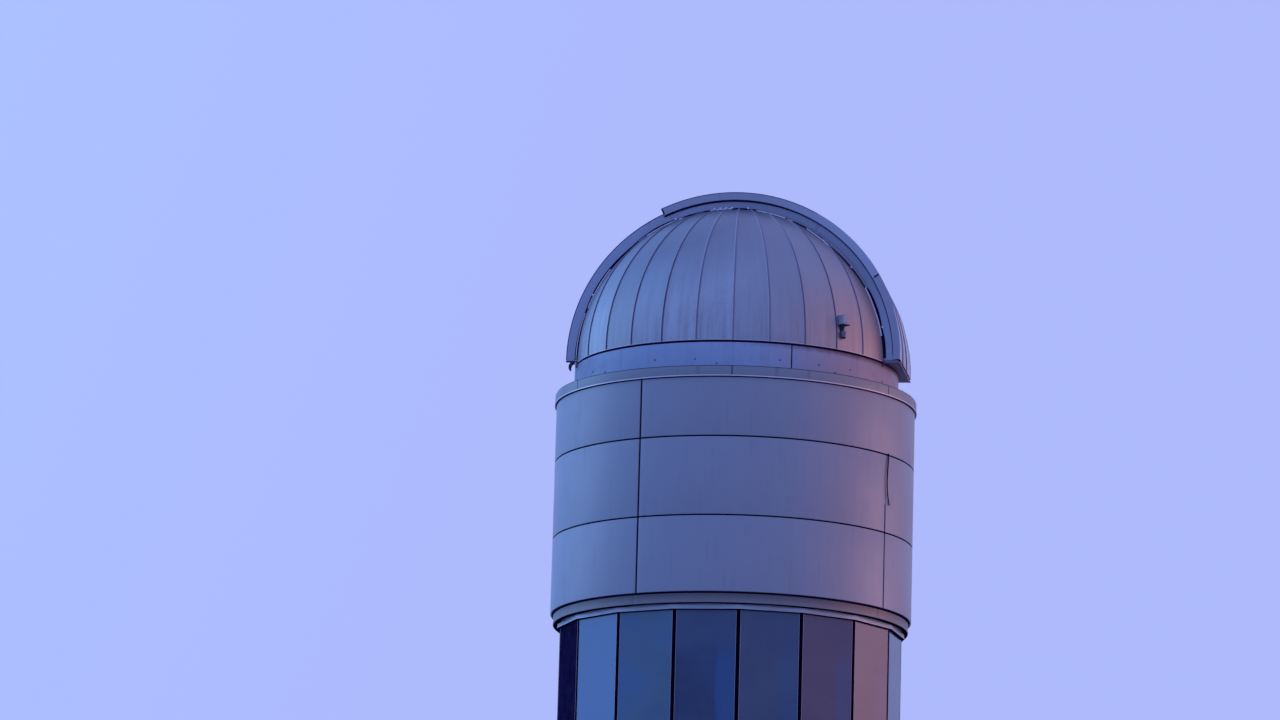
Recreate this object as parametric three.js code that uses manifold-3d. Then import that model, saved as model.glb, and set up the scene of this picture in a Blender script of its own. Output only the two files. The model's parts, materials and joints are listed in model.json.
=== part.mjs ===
// Observatory dome on the round head of a building: a metal-clad round tower with a glazed storey,
// a fixed drum, and a turning dome of sheet gores whose slit is closed by two shutters.
// Millimetres, +Z up. The origin is on the ground, on the axis of the tower.
// Azimuths are in degrees from -Y towards +X. The slit looks along +X, the long shutter runs over the top.
import * as THREE from 'three';
import { mergeVertices } from 'three/addons/utils/BufferGeometryUtils.js';
import Module from 'manifold-3d';

// Heights above the ground
const PLINTH_TOP = 250;
const SILL_TOP = 320;
const GLASS_TOP = 3676;
const HEAD_TOP = 3752;
const FASCIA_BOTTOM = 3768;
const FASCIA_TOP = 3903;
const ROW_LEVELS = [3918, 5119, 6339, 7389];
const DECK_BOTTOM = 7000;
const DECK_TOP = 7200;
const COPING_DRIP = 7250;
const COPING_TOP = 7415;
const DRUM_TOP = 7836;
const TRACK_TOP = 7844;
const RING_BOTTOM = 7862;
const RING_TOP = 7914;
const CENTRE_Z = 7926;

// Tower radii
const CLAD_RADIUS = 2815;
const WALL_INNER = 2620;
const WALL_LEDGE = 2560;
const COPING_RADIUS = 2845;
const COPING_THICK = 26;
const COPING_LEG = 40;
const GLASS_CORNER = 2675;
const GLASS_THICK = 30;
const FRAME_DEPTH = 125;
const PLINTH_RADIUS = 2720;
const PLINTH_INNER = 2490;
const HEAD_RADIUS = 2718;
const FASCIA_RADIUS = 2772;
const FASCIA_INNER = 2660;
const DRUM_RADIUS = 2548;
const DRUM_THICK = 80;
const SLAB_THICK = 150;
const FIT_GAP = 0.3;

// Tower pattern
const PANE_COUNT = 17;
const PANE_PHASE = 180 / PANE_COUNT;
const POST_WIDTH = 60;
const POST_SETBACK = 8;
const POST_LAP = 20;
const SILL_LIP = 10;
const HEAD_RAIL = 80;
const ROW_REVEAL = 24;
const REVEAL_DEPTH = 20;
const PANEL_JOINTS = [-23, 64, 151, 238];
const TOP_ROW_JOINTS = [-23, 151, 238];

// Dome
const GORE_RADIUS = 2540;
const SHELL_THICK = 25;
const GORE_COUNT = 28;
const SIDE_GORES = 11;
const GORE_PITCH = 360 / GORE_COUNT;
const FACETS = 2 * GORE_COUNT;
const GORE_FOOT = -1.6;
const GORE_STEPS = 9;
const SEAM_GAP = 0.006;
const RING_INNER = 2390;
const RING_OUTER = GORE_RADIUS - SHELL_THICK - 1.1;
const TRACK_WIDTH = 40;
const TRACK_ROLLERS = 12;
const ROLLER_RADIUS = 12;
const ROLLER_LENGTH = 28;

// Weather sensor on a gore: box, neck and cup as width, reach over the backing radius, bottom and top
const SENSOR_AZIMUTH = 47.5;
const SENSOR_BACK = 2480;
const SENSOR_PARTS = [
  { width: 140, inner: 0, outer: 160, bottom: 8250, top: 8425 },
  { width: 50, inner: 0, outer: 110, bottom: 8165, top: 8260 },
  { width: 90, inner: 30, outer: 140, bottom: 8050, top: 8175 },
];

// Curved hook under the rear foot of the near rail, angles from +X
const HOOK_X = -2490;
const HOOK_RADIUS = 110;
const HOOK_WIDTH = 26;
const HOOK_THICK = 40;
const HOOK_PAD = 10;
const HOOK_FROM = 90;
const HOOK_TO = 225;
const HOOK_STEPS = 8;

// Slit, rails and shutters; RUN_GAP is the clearance of what moves
const RUN_GAP = 6;
const RAIL_OUTER_Y = 775;
const RAIL_INNER_Y = 715;
const RAIL_BOTTOM = 2340;
const RAIL_TOP = 2597;
const SKIRT_THICK = 14;
const SKIRT_EDGE = 2561;
const SHUTTER_RADIUS = 2684;
const SHUTTER_SKIN = 24;
const SHUTTER_HALF = RAIL_OUTER_Y + RUN_GAP + SKIRT_THICK;
const BREAK_ANGLE = 30;
const BREAK_GAP = 0.2;
const UPPER_REAR = 115.5;
const SLIT_END = 100;
const HEADER_END = 103;
const ARCH_STEP = 5;
const LEAF_FOOT_X = 2669;
const LEAF_FOOT_Z = CENTRE_Z - 6;
const LEAF_BEND_X = 2677;
const LEAF_BEND_Z = CENTRE_Z + 430;
const LEAF_CURVE_FROM = 19;
const PIVOT_X = 2654;
const BARREL_RADIUS = 14;
const BORE_RADIUS = 6.8;
const PIN_RADIUS = 6;
const PIVOT_Z = LEAF_FOOT_Z - BARREL_RADIUS - 5;
const SILL_FRONT = PIVOT_X - BARREL_RADIUS - 5;
const SILL_RISE = 4;
const KNUCKLE_ARM = 20;
const LEAF_ARM = 16;
const WHEEL_RADIUS = 28;
const WHEEL_WIDTH = 24;
const AXLE_RADIUS = 8;
const WHEEL_ANGLES = [40, 75, 110];

const wasm = await Module();
wasm.setup();

const radians = THREE.MathUtils.degToRad;

const steel = (colour, roughness, metalness) =>
  new THREE.MeshStandardMaterial({ color: colour, roughness, metalness });

const paint = {
  cladding: () => steel(0xa9adb6, 0.5, 0.3),
  coping: () => steel(0xb3b8c2, 0.4, 0.6),
  glass: () => steel(0x24405f, 0.08, 0.0),
  mullion: () => steel(0x23262d, 0.5, 0.4),
  trim: () => steel(0x9aa1ac, 0.4, 0.6),
  concrete: () => steel(0x8d8c88, 0.9, 0.0),
  drum: () => steel(0xaab0ba, 0.45, 0.7),
  gore: () => steel(0xa6adb8, 0.4, 0.8),
  rail: () => steel(0x75839a, 0.45, 0.6),
  dark: () => steel(0x2b2e36, 0.6, 0.5),
  sensor: () => steel(0x8f949c, 0.5, 0.1),
};

const observatory = new THREE.Group();
const tower = new THREE.Group();
const dome = new THREE.Group();
const shutters = new THREE.Group();
observatory.add(tower, dome, shutters);

function place(parent, name, geometry, material) {
  const mesh = new THREE.Mesh(geometry, material);
  mesh.name = name;
  parent.add(mesh);
  return mesh;
}

// Booleans

function toSolid(geometry) {
  const bare = geometry.clone();
  bare.deleteAttribute('normal');
  bare.deleteAttribute('uv');
  const merged = mergeVertices(bare, 1e-3);
  return new wasm.Manifold(new wasm.Mesh({
    numProp: 3,
    vertProperties: Float32Array.from(merged.attributes.position.array),
    triVerts: Uint32Array.from(merged.index.array),
  }));
}

function fromSolid(solid) {
  const result = solid.getMesh();
  const geometry = new THREE.BufferGeometry();
  geometry.setAttribute('position', new THREE.BufferAttribute(result.vertProperties, 3));
  geometry.setIndex(new THREE.BufferAttribute(result.triVerts, 1));
  return geometry;
}

function join(geometries) {
  return fromSolid(geometries.map(toSolid).reduce((whole, piece) => whole.add(piece)));
}

function cut(geometry, tools) {
  return fromSolid(tools.map(toSolid).reduce((whole, tool) => whole.subtract(tool), toSolid(geometry)));
}

// Shapes

// Solid of revolution about Z from a closed outline of [radius, height], outside edge going up
function turned(outline, facets = FACETS, phase = 0) {
  const points = outline.map(([radius, height]) => new THREE.Vector2(radius, height));
  const geometry = new THREE.LatheGeometry(points, facets, radians(phase), 2 * Math.PI);
  return geometry.rotateX(Math.PI / 2);
}

function ring(inner, outer, bottom, top, facets = FACETS, phase = 0) {
  const outline = [[inner, bottom], [outer, bottom], [outer, top], [inner, top], [inner, bottom]];
  return turned(outline, facets, phase);
}

function disc(radius, bottom, top, facets = FACETS) {
  return turned([[0, bottom], [radius, bottom], [radius, top], [0, top]], facets);
}

function box(x0, x1, y0, y1, z0, z1) {
  const geometry = new THREE.BoxGeometry(x1 - x0, y1 - y0, z1 - z0);
  return geometry.translate((x0 + x1) / 2, (y0 + y1) / 2, (z0 + z1) / 2);
}

// Box that lies along the radius at an azimuth, from one radius to another
function radialBox(azimuth, inner, outer, width, bottom, top) {
  return box(-width / 2, width / 2, -outer, -inner, bottom, top).rotateZ(radians(azimuth));
}

// Plate with an outline of [x, z] points, running across the slit from y0 to y1
function crossPlate(outline, y0, y1) {
  const shape = new THREE.Shape(outline.map(([x, z]) => new THREE.Vector2(x, z)));
  const geometry = new THREE.ExtrudeGeometry(shape, { depth: y1 - y0, bevelEnabled: false });
  return geometry.rotateX(Math.PI / 2).translate(0, y1, 0);
}

// Points of an arc about the dome's centre in the plane of the slit, angles from +X upwards
function arc(radius, from, to) {
  const steps = Math.max(1, Math.round(Math.abs(to - from) / ARCH_STEP));
  return Array.from({ length: steps + 1 }, (_, i) => {
    const angle = radians(from + (to - from) * i / steps);
    return [radius * Math.cos(angle), CENTRE_Z + radius * Math.sin(angle)];
  });
}

function archBlock(inner, outer, from, to, y0, y1) {
  return crossPlate([...arc(outer, from, to), ...arc(inner, to, from)], y0, y1);
}

// Barrel of a hinge about an axis that runs along Y
function barrel(x, z, radius, y0, y1) {
  return new THREE.CylinderGeometry(radius, radius, y1 - y0, 12).translate(x, (y0 + y1) / 2, z);
}

// Closed shell between an outer and an inner grid of points; pointAt(layer, i, j), layer 0 is outside
function shell(pointAt, columns, rows) {
  const positions = [];
  const triangles = [];
  const index = (layer, i, j) => (layer * (columns + 1) + i) * (rows + 1) + j;
  for (let layer = 0; layer < 2; layer += 1) {
    for (let i = 0; i <= columns; i += 1) {
      for (let j = 0; j <= rows; j += 1) {
        positions.push(...pointAt(layer, i, j));
      }
    }
  }
  const quad = (a, b, c, d) => triangles.push(a, b, c, a, c, d);
  for (let i = 0; i < columns; i += 1) {
    for (let j = 0; j < rows; j += 1) {
      quad(index(0, i, j), index(0, i + 1, j), index(0, i + 1, j + 1), index(0, i, j + 1));
      quad(index(1, i, j), index(1, i, j + 1), index(1, i + 1, j + 1), index(1, i + 1, j));
    }
    quad(index(1, i, 0), index(1, i + 1, 0), index(0, i + 1, 0), index(0, i, 0));
    quad(index(0, i, rows), index(0, i + 1, rows), index(1, i + 1, rows), index(1, i, rows));
  }
  for (let j = 0; j < rows; j += 1) {
    quad(index(1, 0, j), index(0, 0, j), index(0, 0, j + 1), index(1, 0, j + 1));
    quad(index(0, columns, j), index(1, columns, j), index(1, columns, j + 1), index(0, columns, j + 1));
  }
  const geometry = new THREE.BufferGeometry();
  geometry.setAttribute('position', new THREE.Float32BufferAttribute(positions, 3));
  geometry.setIndex(triangles);
  return geometry;
}

// Tower

function glazedStorey() {
  const frameOuter = GLASS_CORNER - GLASS_THICK - FIT_GAP;
  const frameInner = frameOuter - FRAME_DEPTH;
  const panes = (inner, outer, bottom, top) => ring(inner, outer, bottom, top, PANE_COUNT, PANE_PHASE);
  place(tower, 'base_plinth', ring(PLINTH_INNER, PLINTH_RADIUS, 0, PLINTH_TOP), paint.concrete());
  place(tower, 'ground_floor', disc(PLINTH_INNER - FIT_GAP, 0, SLAB_THICK), paint.concrete());
  const sill = panes(frameInner, GLASS_CORNER + SILL_LIP, PLINTH_TOP, SILL_TOP);
  const head = panes(frameInner, frameOuter, GLASS_TOP - HEAD_RAIL, GLASS_TOP);
  const posts = Array.from({ length: PANE_COUNT }, (_, i) => {
    const azimuth = PANE_PHASE + i * 360 / PANE_COUNT;
    const outer = frameOuter - POST_SETBACK;
    return radialBox(azimuth, frameInner, outer, POST_WIDTH, SILL_TOP - POST_LAP, GLASS_TOP - POST_LAP);
  });
  place(tower, 'mullion_frame', join([sill, head, ...posts]), paint.mullion());
  const glass = panes(GLASS_CORNER - GLASS_THICK, GLASS_CORNER, SILL_TOP, GLASS_TOP);
  place(tower, 'glass_band', glass, paint.glass());
  place(tower, 'head_band', panes(frameInner, HEAD_RADIUS, GLASS_TOP, HEAD_TOP), paint.trim());
}

function beltAndFloor() {
  place(tower, 'upper_floor', disc(FASCIA_INNER - FIT_GAP, HEAD_TOP, ROW_LEVELS[0]), paint.concrete());
  const fascia = ring(FASCIA_INNER, FASCIA_RADIUS, FASCIA_BOTTOM, FASCIA_TOP);
  place(tower, 'belt_fascia', fascia, paint.trim());
}

// One row of cladding panels on its wall, with the open joint above it and the upright joints cut in
function claddingRow(name, bottom, top, outline, joints) {
  const grooves = joints.map((azimuth) => radialBox(
    azimuth, CLAD_RADIUS - REVEAL_DEPTH, CLAD_RADIUS + REVEAL_DEPTH, ROW_REVEAL, bottom - 1, top + 1));
  place(tower, name, cut(turned(outline), grooves), paint.cladding());
}

function claddingRows() {
  const step = CLAD_RADIUS - REVEAL_DEPTH;
  const [first, second, third, last] = ROW_LEVELS;
  const plain = (bottom, top, foot = []) => [
    [WALL_INNER, bottom], ...foot, [CLAD_RADIUS, bottom + ROW_REVEAL * Math.sign(foot.length)],
    [CLAD_RADIUS, top - ROW_REVEAL], [step, top - ROW_REVEAL], [step, top], [WALL_INNER, top],
    [WALL_INNER, bottom],
  ];
  const withLedge = [
    [WALL_LEDGE, third], [CLAD_RADIUS, third], [CLAD_RADIUS, last], [WALL_INNER, last],
    [WALL_INNER, DECK_BOTTOM], [WALL_LEDGE, DECK_BOTTOM], [WALL_LEDGE, third],
  ];
  const rebate = [[step, first], [step, first + ROW_REVEAL]];
  claddingRow('cladding_row_bottom', first, second, plain(first, second, rebate), PANEL_JOINTS);
  claddingRow('cladding_row_middle', second, third, plain(second, third), PANEL_JOINTS);
  claddingRow('cladding_row_top', third, last, withLedge, TOP_ROW_JOINTS);
}

function roof() {
  const lid = COPING_TOP - COPING_THICK;
  const skin = COPING_RADIUS - COPING_THICK;
  const back = WALL_INNER - COPING_THICK;
  const coping = turned([
    [back, lid - COPING_LEG], [WALL_INNER - FIT_GAP, lid - COPING_LEG], [WALL_INNER - FIT_GAP, lid],
    [skin, lid], [skin, COPING_DRIP], [COPING_RADIUS, COPING_DRIP], [COPING_RADIUS, COPING_TOP],
    [back, COPING_TOP], [back, lid - COPING_LEG],
  ]);
  place(tower, 'coping', coping, paint.coping());
  place(tower, 'roof_deck', disc(WALL_INNER - FIT_GAP, DECK_BOTTOM, DECK_TOP), paint.concrete());
  const drumInner = DRUM_RADIUS - DRUM_THICK;
  place(tower, 'drum_wall', ring(drumInner, DRUM_RADIUS, DECK_TOP, DRUM_TOP), paint.drum());
  const track = ring(drumInner, drumInner + TRACK_WIDTH, DRUM_TOP, TRACK_TOP);
  const axle = RING_BOTTOM - FIT_GAP - ROLLER_RADIUS;
  const rollers = Array.from({ length: TRACK_ROLLERS }, (_, i) =>
    new THREE.CylinderGeometry(ROLLER_RADIUS, ROLLER_RADIUS, ROLLER_LENGTH, 12)
      .translate(0, -drumInner - TRACK_WIDTH / 2, axle)
      .rotateZ(radians(360 * (i + 0.5) / TRACK_ROLLERS)));
  place(tower, 'track_ring', join([track, ...rollers]), paint.dark());
}

// Dome shell

// One gore over a list of meridians, from the foot up to the plane of the slit's rail
function gore(azimuths, side, outside = GORE_RADIUS, thick = SHELL_THICK) {
  const edge = RAIL_OUTER_Y + FIT_GAP;
  const foot = radians(GORE_FOOT);
  return shell((layer, i, j) => {
    const radius = outside - layer * thick;
    const azimuth = radians(azimuths[i]);
    const top = Math.acos(edge / (radius * Math.cos(azimuth)));
    const elevation = j === 0 ? foot : top * (j - 1) / (GORE_STEPS - 1);
    const flat = radius * Math.cos(elevation);
    const x = side * flat * Math.sin(azimuth);
    const y = -side * flat * Math.cos(azimuth);
    return [x, y, CENTRE_Z + radius * Math.sin(elevation)];
  }, azimuths.length - 1, GORE_STEPS);
}

// The gores beside the slit run on past their last full meridian to the rail
function gores(prefix, side) {
  const half = GORE_PITCH / 2;
  const railAzimuth = THREE.MathUtils.radToDeg(Math.acos((RAIL_OUTER_Y + 1) / (GORE_RADIUS - SHELL_THICK)));
  for (let k = 0; k < SIDE_GORES; k += 1) {
    const middle = (k - (SIDE_GORES - 1) / 2) * GORE_PITCH;
    const azimuths = [middle - half + SEAM_GAP, middle, middle + half - SEAM_GAP];
    if (k === 0) {
      azimuths.unshift(-railAzimuth);
    }
    if (k === SIDE_GORES - 1) {
      azimuths.push(railAzimuth);
    }
    const name = `${prefix}_${String(k + 1).padStart(2, '0')}`;
    place(dome, name, gore(azimuths, side), paint.gore());
  }
}

// Fixed shell behind the slit, between the rails
function rearShell() {
  const half = RAIL_INNER_Y - FIT_GAP;
  const inside = [2, 1, 0, -1, -2].map((k) => RING_OUTER * Math.sin(radians(k * GORE_PITCH / 2)));
  const columns = [half, ...inside, -half];
  const rows = 10;
  return shell((layer, i, j) => {
    const y = columns[i];
    const along = Math.sqrt((GORE_RADIUS - layer * SHELL_THICK) ** 2 - y ** 2);
    const angle = radians(j === 0 ? 180 - GORE_FOOT : 180 + (HEADER_END - 180) * (j - 1) / (rows - 1));
    return [along * Math.cos(angle), y, CENTRE_Z + along * Math.sin(angle)];
  }, columns.length - 1, rows);
}

function rail(y0, y1) {
  const foot = (radius, sign) => [sign * radius, RING_TOP];
  const outline = [
    foot(RAIL_TOP, 1), ...arc(RAIL_TOP, 0, 180), foot(RAIL_TOP, -1),
    foot(RAIL_BOTTOM, -1), ...arc(RAIL_BOTTOM, 180, 0), foot(RAIL_BOTTOM, 1),
  ];
  return crossPlate(outline, y0, y1);
}

// Closed box under the lower shutter: it follows the base ring inside and carries the hinge outside
function slitSill(hinges) {
  const body = cut(
    box(RING_INNER, SILL_FRONT, -RAIL_OUTER_Y, RAIL_OUTER_Y, RING_BOTTOM + SILL_RISE, RING_TOP),
    [disc(RING_OUTER + FIT_GAP, 0, CENTRE_Z)]);
  const knuckles = hinges.flatMap(({ sill, pin }) => [
    barrel(PIVOT_X, PIVOT_Z, BARREL_RADIUS, ...sill),
    box(SILL_FRONT - KNUCKLE_ARM, PIVOT_X, ...sill, PIVOT_Z - KNUCKLE_ARM / 2, PIVOT_Z + KNUCKLE_ARM / 2),
    barrel(PIVOT_X, PIVOT_Z, PIN_RADIUS, ...pin),
  ]);
  return join([body, ...knuckles]);
}

// Box, neck and cup of the sensor, trimmed to the gore that carries it
function weatherSensor() {
  const parts = SENSOR_PARTS.map(({ width, inner, outer, bottom, top }) =>
    radialBox(SENSOR_AZIMUTH, SENSOR_BACK + inner, SENSOR_BACK + outer, width, bottom, top));
  const seam = GORE_PITCH * 3.5;
  const meridians = [seam, seam + GORE_PITCH / 2, seam + GORE_PITCH];
  return cut(join(parts), [gore(meridians, 1, GORE_RADIUS + FIT_GAP, 10 * SHELL_THICK)]);
}

// Curved hook with a flat pad under the rear foot of the near rail
function rearHook() {
  const seat = RING_TOP - FIT_GAP;
  const point = (radius, i) => {
    const angle = radians(HOOK_FROM + (HOOK_TO - HOOK_FROM) * i / HOOK_STEPS);
    return [HOOK_X + radius * Math.cos(angle), seat - HOOK_RADIUS + radius * Math.sin(angle)];
  };
  const steps = Array.from({ length: HOOK_STEPS + 1 }, (_, i) => i);
  const outside = steps.map((i) => point(HOOK_RADIUS - 1, i));
  const inside = steps.map((i) => point(HOOK_RADIUS - HOOK_WIDTH, i)).reverse();
  const y0 = -RAIL_OUTER_Y + 5;
  const y1 = y0 + HOOK_THICK;
  const pad = box(HOOK_X - HOOK_THICK, HOOK_X + HOOK_THICK, y0, y1, seat - HOOK_PAD, seat);
  return join([crossPlate([...outside, ...inside], y0, y1), pad]);
}

function domeShell(hinges) {
  place(dome, 'dome_ring', ring(RING_INNER, RING_OUTER, RING_BOTTOM, RING_TOP), paint.dark());
  gores('gore_near', 1);
  gores('gore_far', -1);
  place(dome, 'rear_shell', rearShell(), paint.gore());
  place(dome, 'arch_rail_near', rail(-RAIL_OUTER_Y, -RAIL_INNER_Y), paint.rail());
  place(dome, 'arch_rail_far', rail(RAIL_INNER_Y, RAIL_OUTER_Y), paint.rail());
  const halfSlit = RAIL_INNER_Y - FIT_GAP;
  const header = archBlock(RAIL_BOTTOM + 20, RAIL_TOP - 30, SLIT_END, HEADER_END - 0.01, -halfSlit, halfSlit);
  place(dome, 'slit_header', header, paint.rail());
  place(dome, 'slit_sill', slitSill(hinges), paint.rail());
  place(dome, 'weather_sensor', weatherSensor(), paint.sensor());
  place(dome, 'rear_hook', rearHook(), paint.dark());
}

// Shutters

// Side skirt of the upper shutter, with the wheels that run on the rail on short axles
function upperSkirt(from, side) {
  const inner = side * (SHUTTER_HALF - SKIRT_THICK);
  const outer = side * SHUTTER_HALF;
  const [y0, y1] = [inner, outer].sort((a, b) => a - b);
  const plate = archBlock(SKIRT_EDGE, SHUTTER_RADIUS, from, UPPER_REAR, y0, y1);
  const middle = side * (RAIL_OUTER_Y + RAIL_INNER_Y) / 2;
  const axle = inner + side * 2;
  const height = RAIL_TOP + FIT_GAP + WHEEL_RADIUS;
  const wheels = WHEEL_ANGLES.flatMap((angle) => [
    barrel(height, 0, WHEEL_RADIUS, middle - WHEEL_WIDTH / 2, middle + WHEEL_WIDTH / 2),
    barrel(height, 0, AXLE_RADIUS, Math.min(middle, axle), Math.max(middle, axle)),
  ].map((piece) => piece.rotateY(-radians(angle)).translate(0, 0, CENTRE_Z)));
  return join([plate, ...wheels]);
}

// The skin of the upper shutter lies between its two skirts
function upperShutter() {
  const from = BREAK_ANGLE + BREAK_GAP / 2;
  const half = SHUTTER_HALF - SKIRT_THICK - FIT_GAP;
  const skin = archBlock(SHUTTER_RADIUS - SHUTTER_SKIN, SHUTTER_RADIUS, from, UPPER_REAR, -half, half);
  place(shutters, 'upper_shutter', skin, paint.rail());
  place(shutters, 'upper_skirt_near', upperSkirt(from, -1), paint.rail());
  place(shutters, 'upper_skirt_far', upperSkirt(from, 1), paint.rail());
}

function lowerShutter(hinges) {
  const to = BREAK_ANGLE - BREAK_GAP / 2;
  const outer = [
    [LEAF_FOOT_X, LEAF_FOOT_Z], [LEAF_BEND_X, LEAF_BEND_Z], ...arc(SHUTTER_RADIUS, LEAF_CURVE_FROM, to),
  ];
  const inset = (point) => {
    const angle = Math.atan2(point[1] - CENTRE_Z, point[0]);
    return [point[0] - SHUTTER_SKIN * Math.cos(angle), point[1] - SHUTTER_SKIN * Math.sin(angle)];
  };
  const inner = outer.map(inset);
  inner[0] = [LEAF_FOOT_X - SHUTTER_SKIN, LEAF_FOOT_Z];
  const skin = crossPlate([...outer, ...inner.reverse()], -SHUTTER_HALF, SHUTTER_HALF);
  const edge = [...arc(SKIRT_EDGE, to, 0), [SKIRT_EDGE, LEAF_FOOT_Z]];
  const skirts = [-SHUTTER_HALF, SHUTTER_HALF - SKIRT_THICK].map((y0) =>
    crossPlate([...outer, ...edge], y0, y0 + SKIRT_THICK));
  const knuckles = hinges.flatMap(({ leaf }) => [
    barrel(PIVOT_X, PIVOT_Z, BARREL_RADIUS, ...leaf),
    box(PIVOT_X - LEAF_ARM / 2, PIVOT_X + LEAF_ARM / 2, ...leaf, PIVOT_Z, LEAF_FOOT_Z + LEAF_ARM / 2),
  ]);
  const bores = hinges.map(({ leaf: [y0, y1] }) => barrel(PIVOT_X, PIVOT_Z, BORE_RADIUS, y0 - 1, y1 + 1));
  return cut(join([skin, ...skirts, ...knuckles]), bores);
}

// Each hinge has a knuckle on the sill, one on the leaf, and a pin that the sill's knuckle holds
const HINGES = [
  { sill: [-640, -560], leaf: [-555, -475], pin: [-630, -468] },
  { sill: [-40, 40], leaf: [45, 125], pin: [-30, 132] },
  { sill: [560, 640], leaf: [475, 555], pin: [468, 630] },
];

glazedStorey();
beltAndFloor();
claddingRows();
roof();
domeShell(HINGES);
upperShutter();
place(shutters, 'lower_shutter', lowerShutter(HINGES), paint.rail());

export default observatory;
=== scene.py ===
# Observatory dome on the round, metal-clad head of a building.
# Metres, +Z up, the origin on the ground on the tower's axis. The slit looks along +X.
# Azimuths are in degrees from -Y towards +X. Slit angles are in degrees from +X upwards, about the
# dome's centre.
import json
import math

import bmesh
import bpy
from mathutils import Matrix, Vector


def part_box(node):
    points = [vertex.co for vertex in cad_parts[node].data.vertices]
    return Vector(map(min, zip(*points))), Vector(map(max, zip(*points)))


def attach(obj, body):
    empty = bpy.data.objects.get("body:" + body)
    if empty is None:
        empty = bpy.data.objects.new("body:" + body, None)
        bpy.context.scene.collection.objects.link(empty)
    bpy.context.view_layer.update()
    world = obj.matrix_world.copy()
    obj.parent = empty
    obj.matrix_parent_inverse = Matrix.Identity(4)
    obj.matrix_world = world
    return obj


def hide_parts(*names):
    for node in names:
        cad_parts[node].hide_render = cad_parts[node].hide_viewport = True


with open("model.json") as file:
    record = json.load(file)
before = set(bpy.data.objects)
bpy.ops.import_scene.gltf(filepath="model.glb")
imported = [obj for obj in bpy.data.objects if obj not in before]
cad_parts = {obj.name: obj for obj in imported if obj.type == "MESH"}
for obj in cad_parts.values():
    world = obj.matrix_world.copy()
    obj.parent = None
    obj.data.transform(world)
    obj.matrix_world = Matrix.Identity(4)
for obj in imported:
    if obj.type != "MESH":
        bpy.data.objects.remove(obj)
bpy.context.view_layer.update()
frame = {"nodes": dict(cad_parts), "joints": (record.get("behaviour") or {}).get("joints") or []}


def levels(node):
    """Foot and top of a node."""
    low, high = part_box(node)
    return low.z, high.z


def reach(node):
    """Outer radius of a round node: one of its corners lies on the X axis."""
    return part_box(node)[1].x


# Tower, from the frame
ROWS = ("bottom", "middle", "top")
CLAD_R = reach("cladding_row_middle")
CLAD_LEVELS = [levels(f"cladding_row_{row}")[0] for row in ROWS] + [levels("cladding_row_top")[1]]
COPING_R = reach("coping")
COPING_Z = levels("coping")
FASCIA_R = reach("belt_fascia")
FASCIA_Z = levels("belt_fascia")
HEAD_Z = levels("head_band")
GLASS_Z = levels("glass_band")
DRUM_R = reach("drum_wall")
DRUM_Z = levels("drum_wall")
PLINTH_R = reach("base_plinth")
PLINTH_TOP = levels("base_plinth")[1]

# Tower, sizes that the frame doesn't give as a box
WALL_INNER = 2.620
ROW_JOINT = 0.024
FOOT_JOINT = 0.016
UPRIGHT_JOINT = 0.032
PANEL_DEPTH = 0.022
PANEL_JOINTS = [-23, 64, 151, 238]
TOP_JOINTS = [-23, 151, 238]
PANES = 17
PANE_PITCH = 360 / PANES
GLASS_CORNER = 2.675
HEAD_CORNER = 2.718
FRAME_INNER = 2.520
PLINTH_INNER = 2.490
FASCIA_INNER = 2.660
DRUM_INNER = 2.468
GUTTER_R = 2.594

# Dome and shutters
CENTRE = Vector(frame["joints"][1]["pos_m"])
CZ = CENTRE.z
GORE_R = 2.540
GORE_PITCH = 360 / 28
SIDE_GORES = 11
SHEET = 0.010
SHEET_FOOT = -1.15
RAIL_Y = (0.715, 0.775)
RAIL_R = (2.340, 2.597)
RING_TOP = 7.914
SHUTTER_R = 2.684
SKIRT_Y = (0.781, 0.795)
SKIRT_R = 2.561
BREAK = 30
UPPER_REAR = 115.5
HEADER_END = 103

# Camera of the photograph, fitted to the panel joints: turned about the tower by CAMERA_TURN from -Y
CAMERA_TURN = math.radians(8)
CAMERA_DISTANCE = 86.605
CAMERA_HEIGHT = -9.808
CAMERA_PITCH = 0.2032417
CAMERA_ROLL = 0.0282484
CAMERA_YAW = -0.0176258
FOCAL_PIXELS = 5612.31
PHOTO_WIDTH = 1280
FILM_WIDTH = 36

X, Y, Z = (Vector(row) for row in Matrix.Identity(3))
SHARP = math.radians(35)


class Nodes:
    """The shader nodes of a material or of the world."""

    def __init__(self, owner):
        owner.use_nodes = True
        self.tree = owner.node_tree
        self.tree.nodes.clear()

    def add(self, kind, inputs=(), **settings):
        node = self.tree.nodes.new("ShaderNode" + kind)
        for key, value in settings.items():
            setattr(node, key, value)
        for key, value in dict(inputs).items():
            if isinstance(value, bpy.types.NodeSocket):
                self.tree.links.new(value, node.inputs[key])
            else:
                node.inputs[key].default_value = value
        return node

    def mix(self, share, *colours):
        ends = [c if isinstance(c, bpy.types.NodeSocket) else (*c, 1) for c in colours]
        return self.add("Mix", {0: share, 6: ends[0], 7: ends[1]}, data_type="RGBA").outputs[2]


# Camera, world and lights

def linked(name, data):
    """A new object of the scene."""
    made = bpy.data.objects.new(name, data)
    bpy.context.scene.collection.objects.link(made)
    return made


def turned(v):
    """A direction of the camera's frame, in the row frame."""
    return Matrix.Rotation(CAMERA_TURN, 3, "Z") @ Vector(v)


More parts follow.
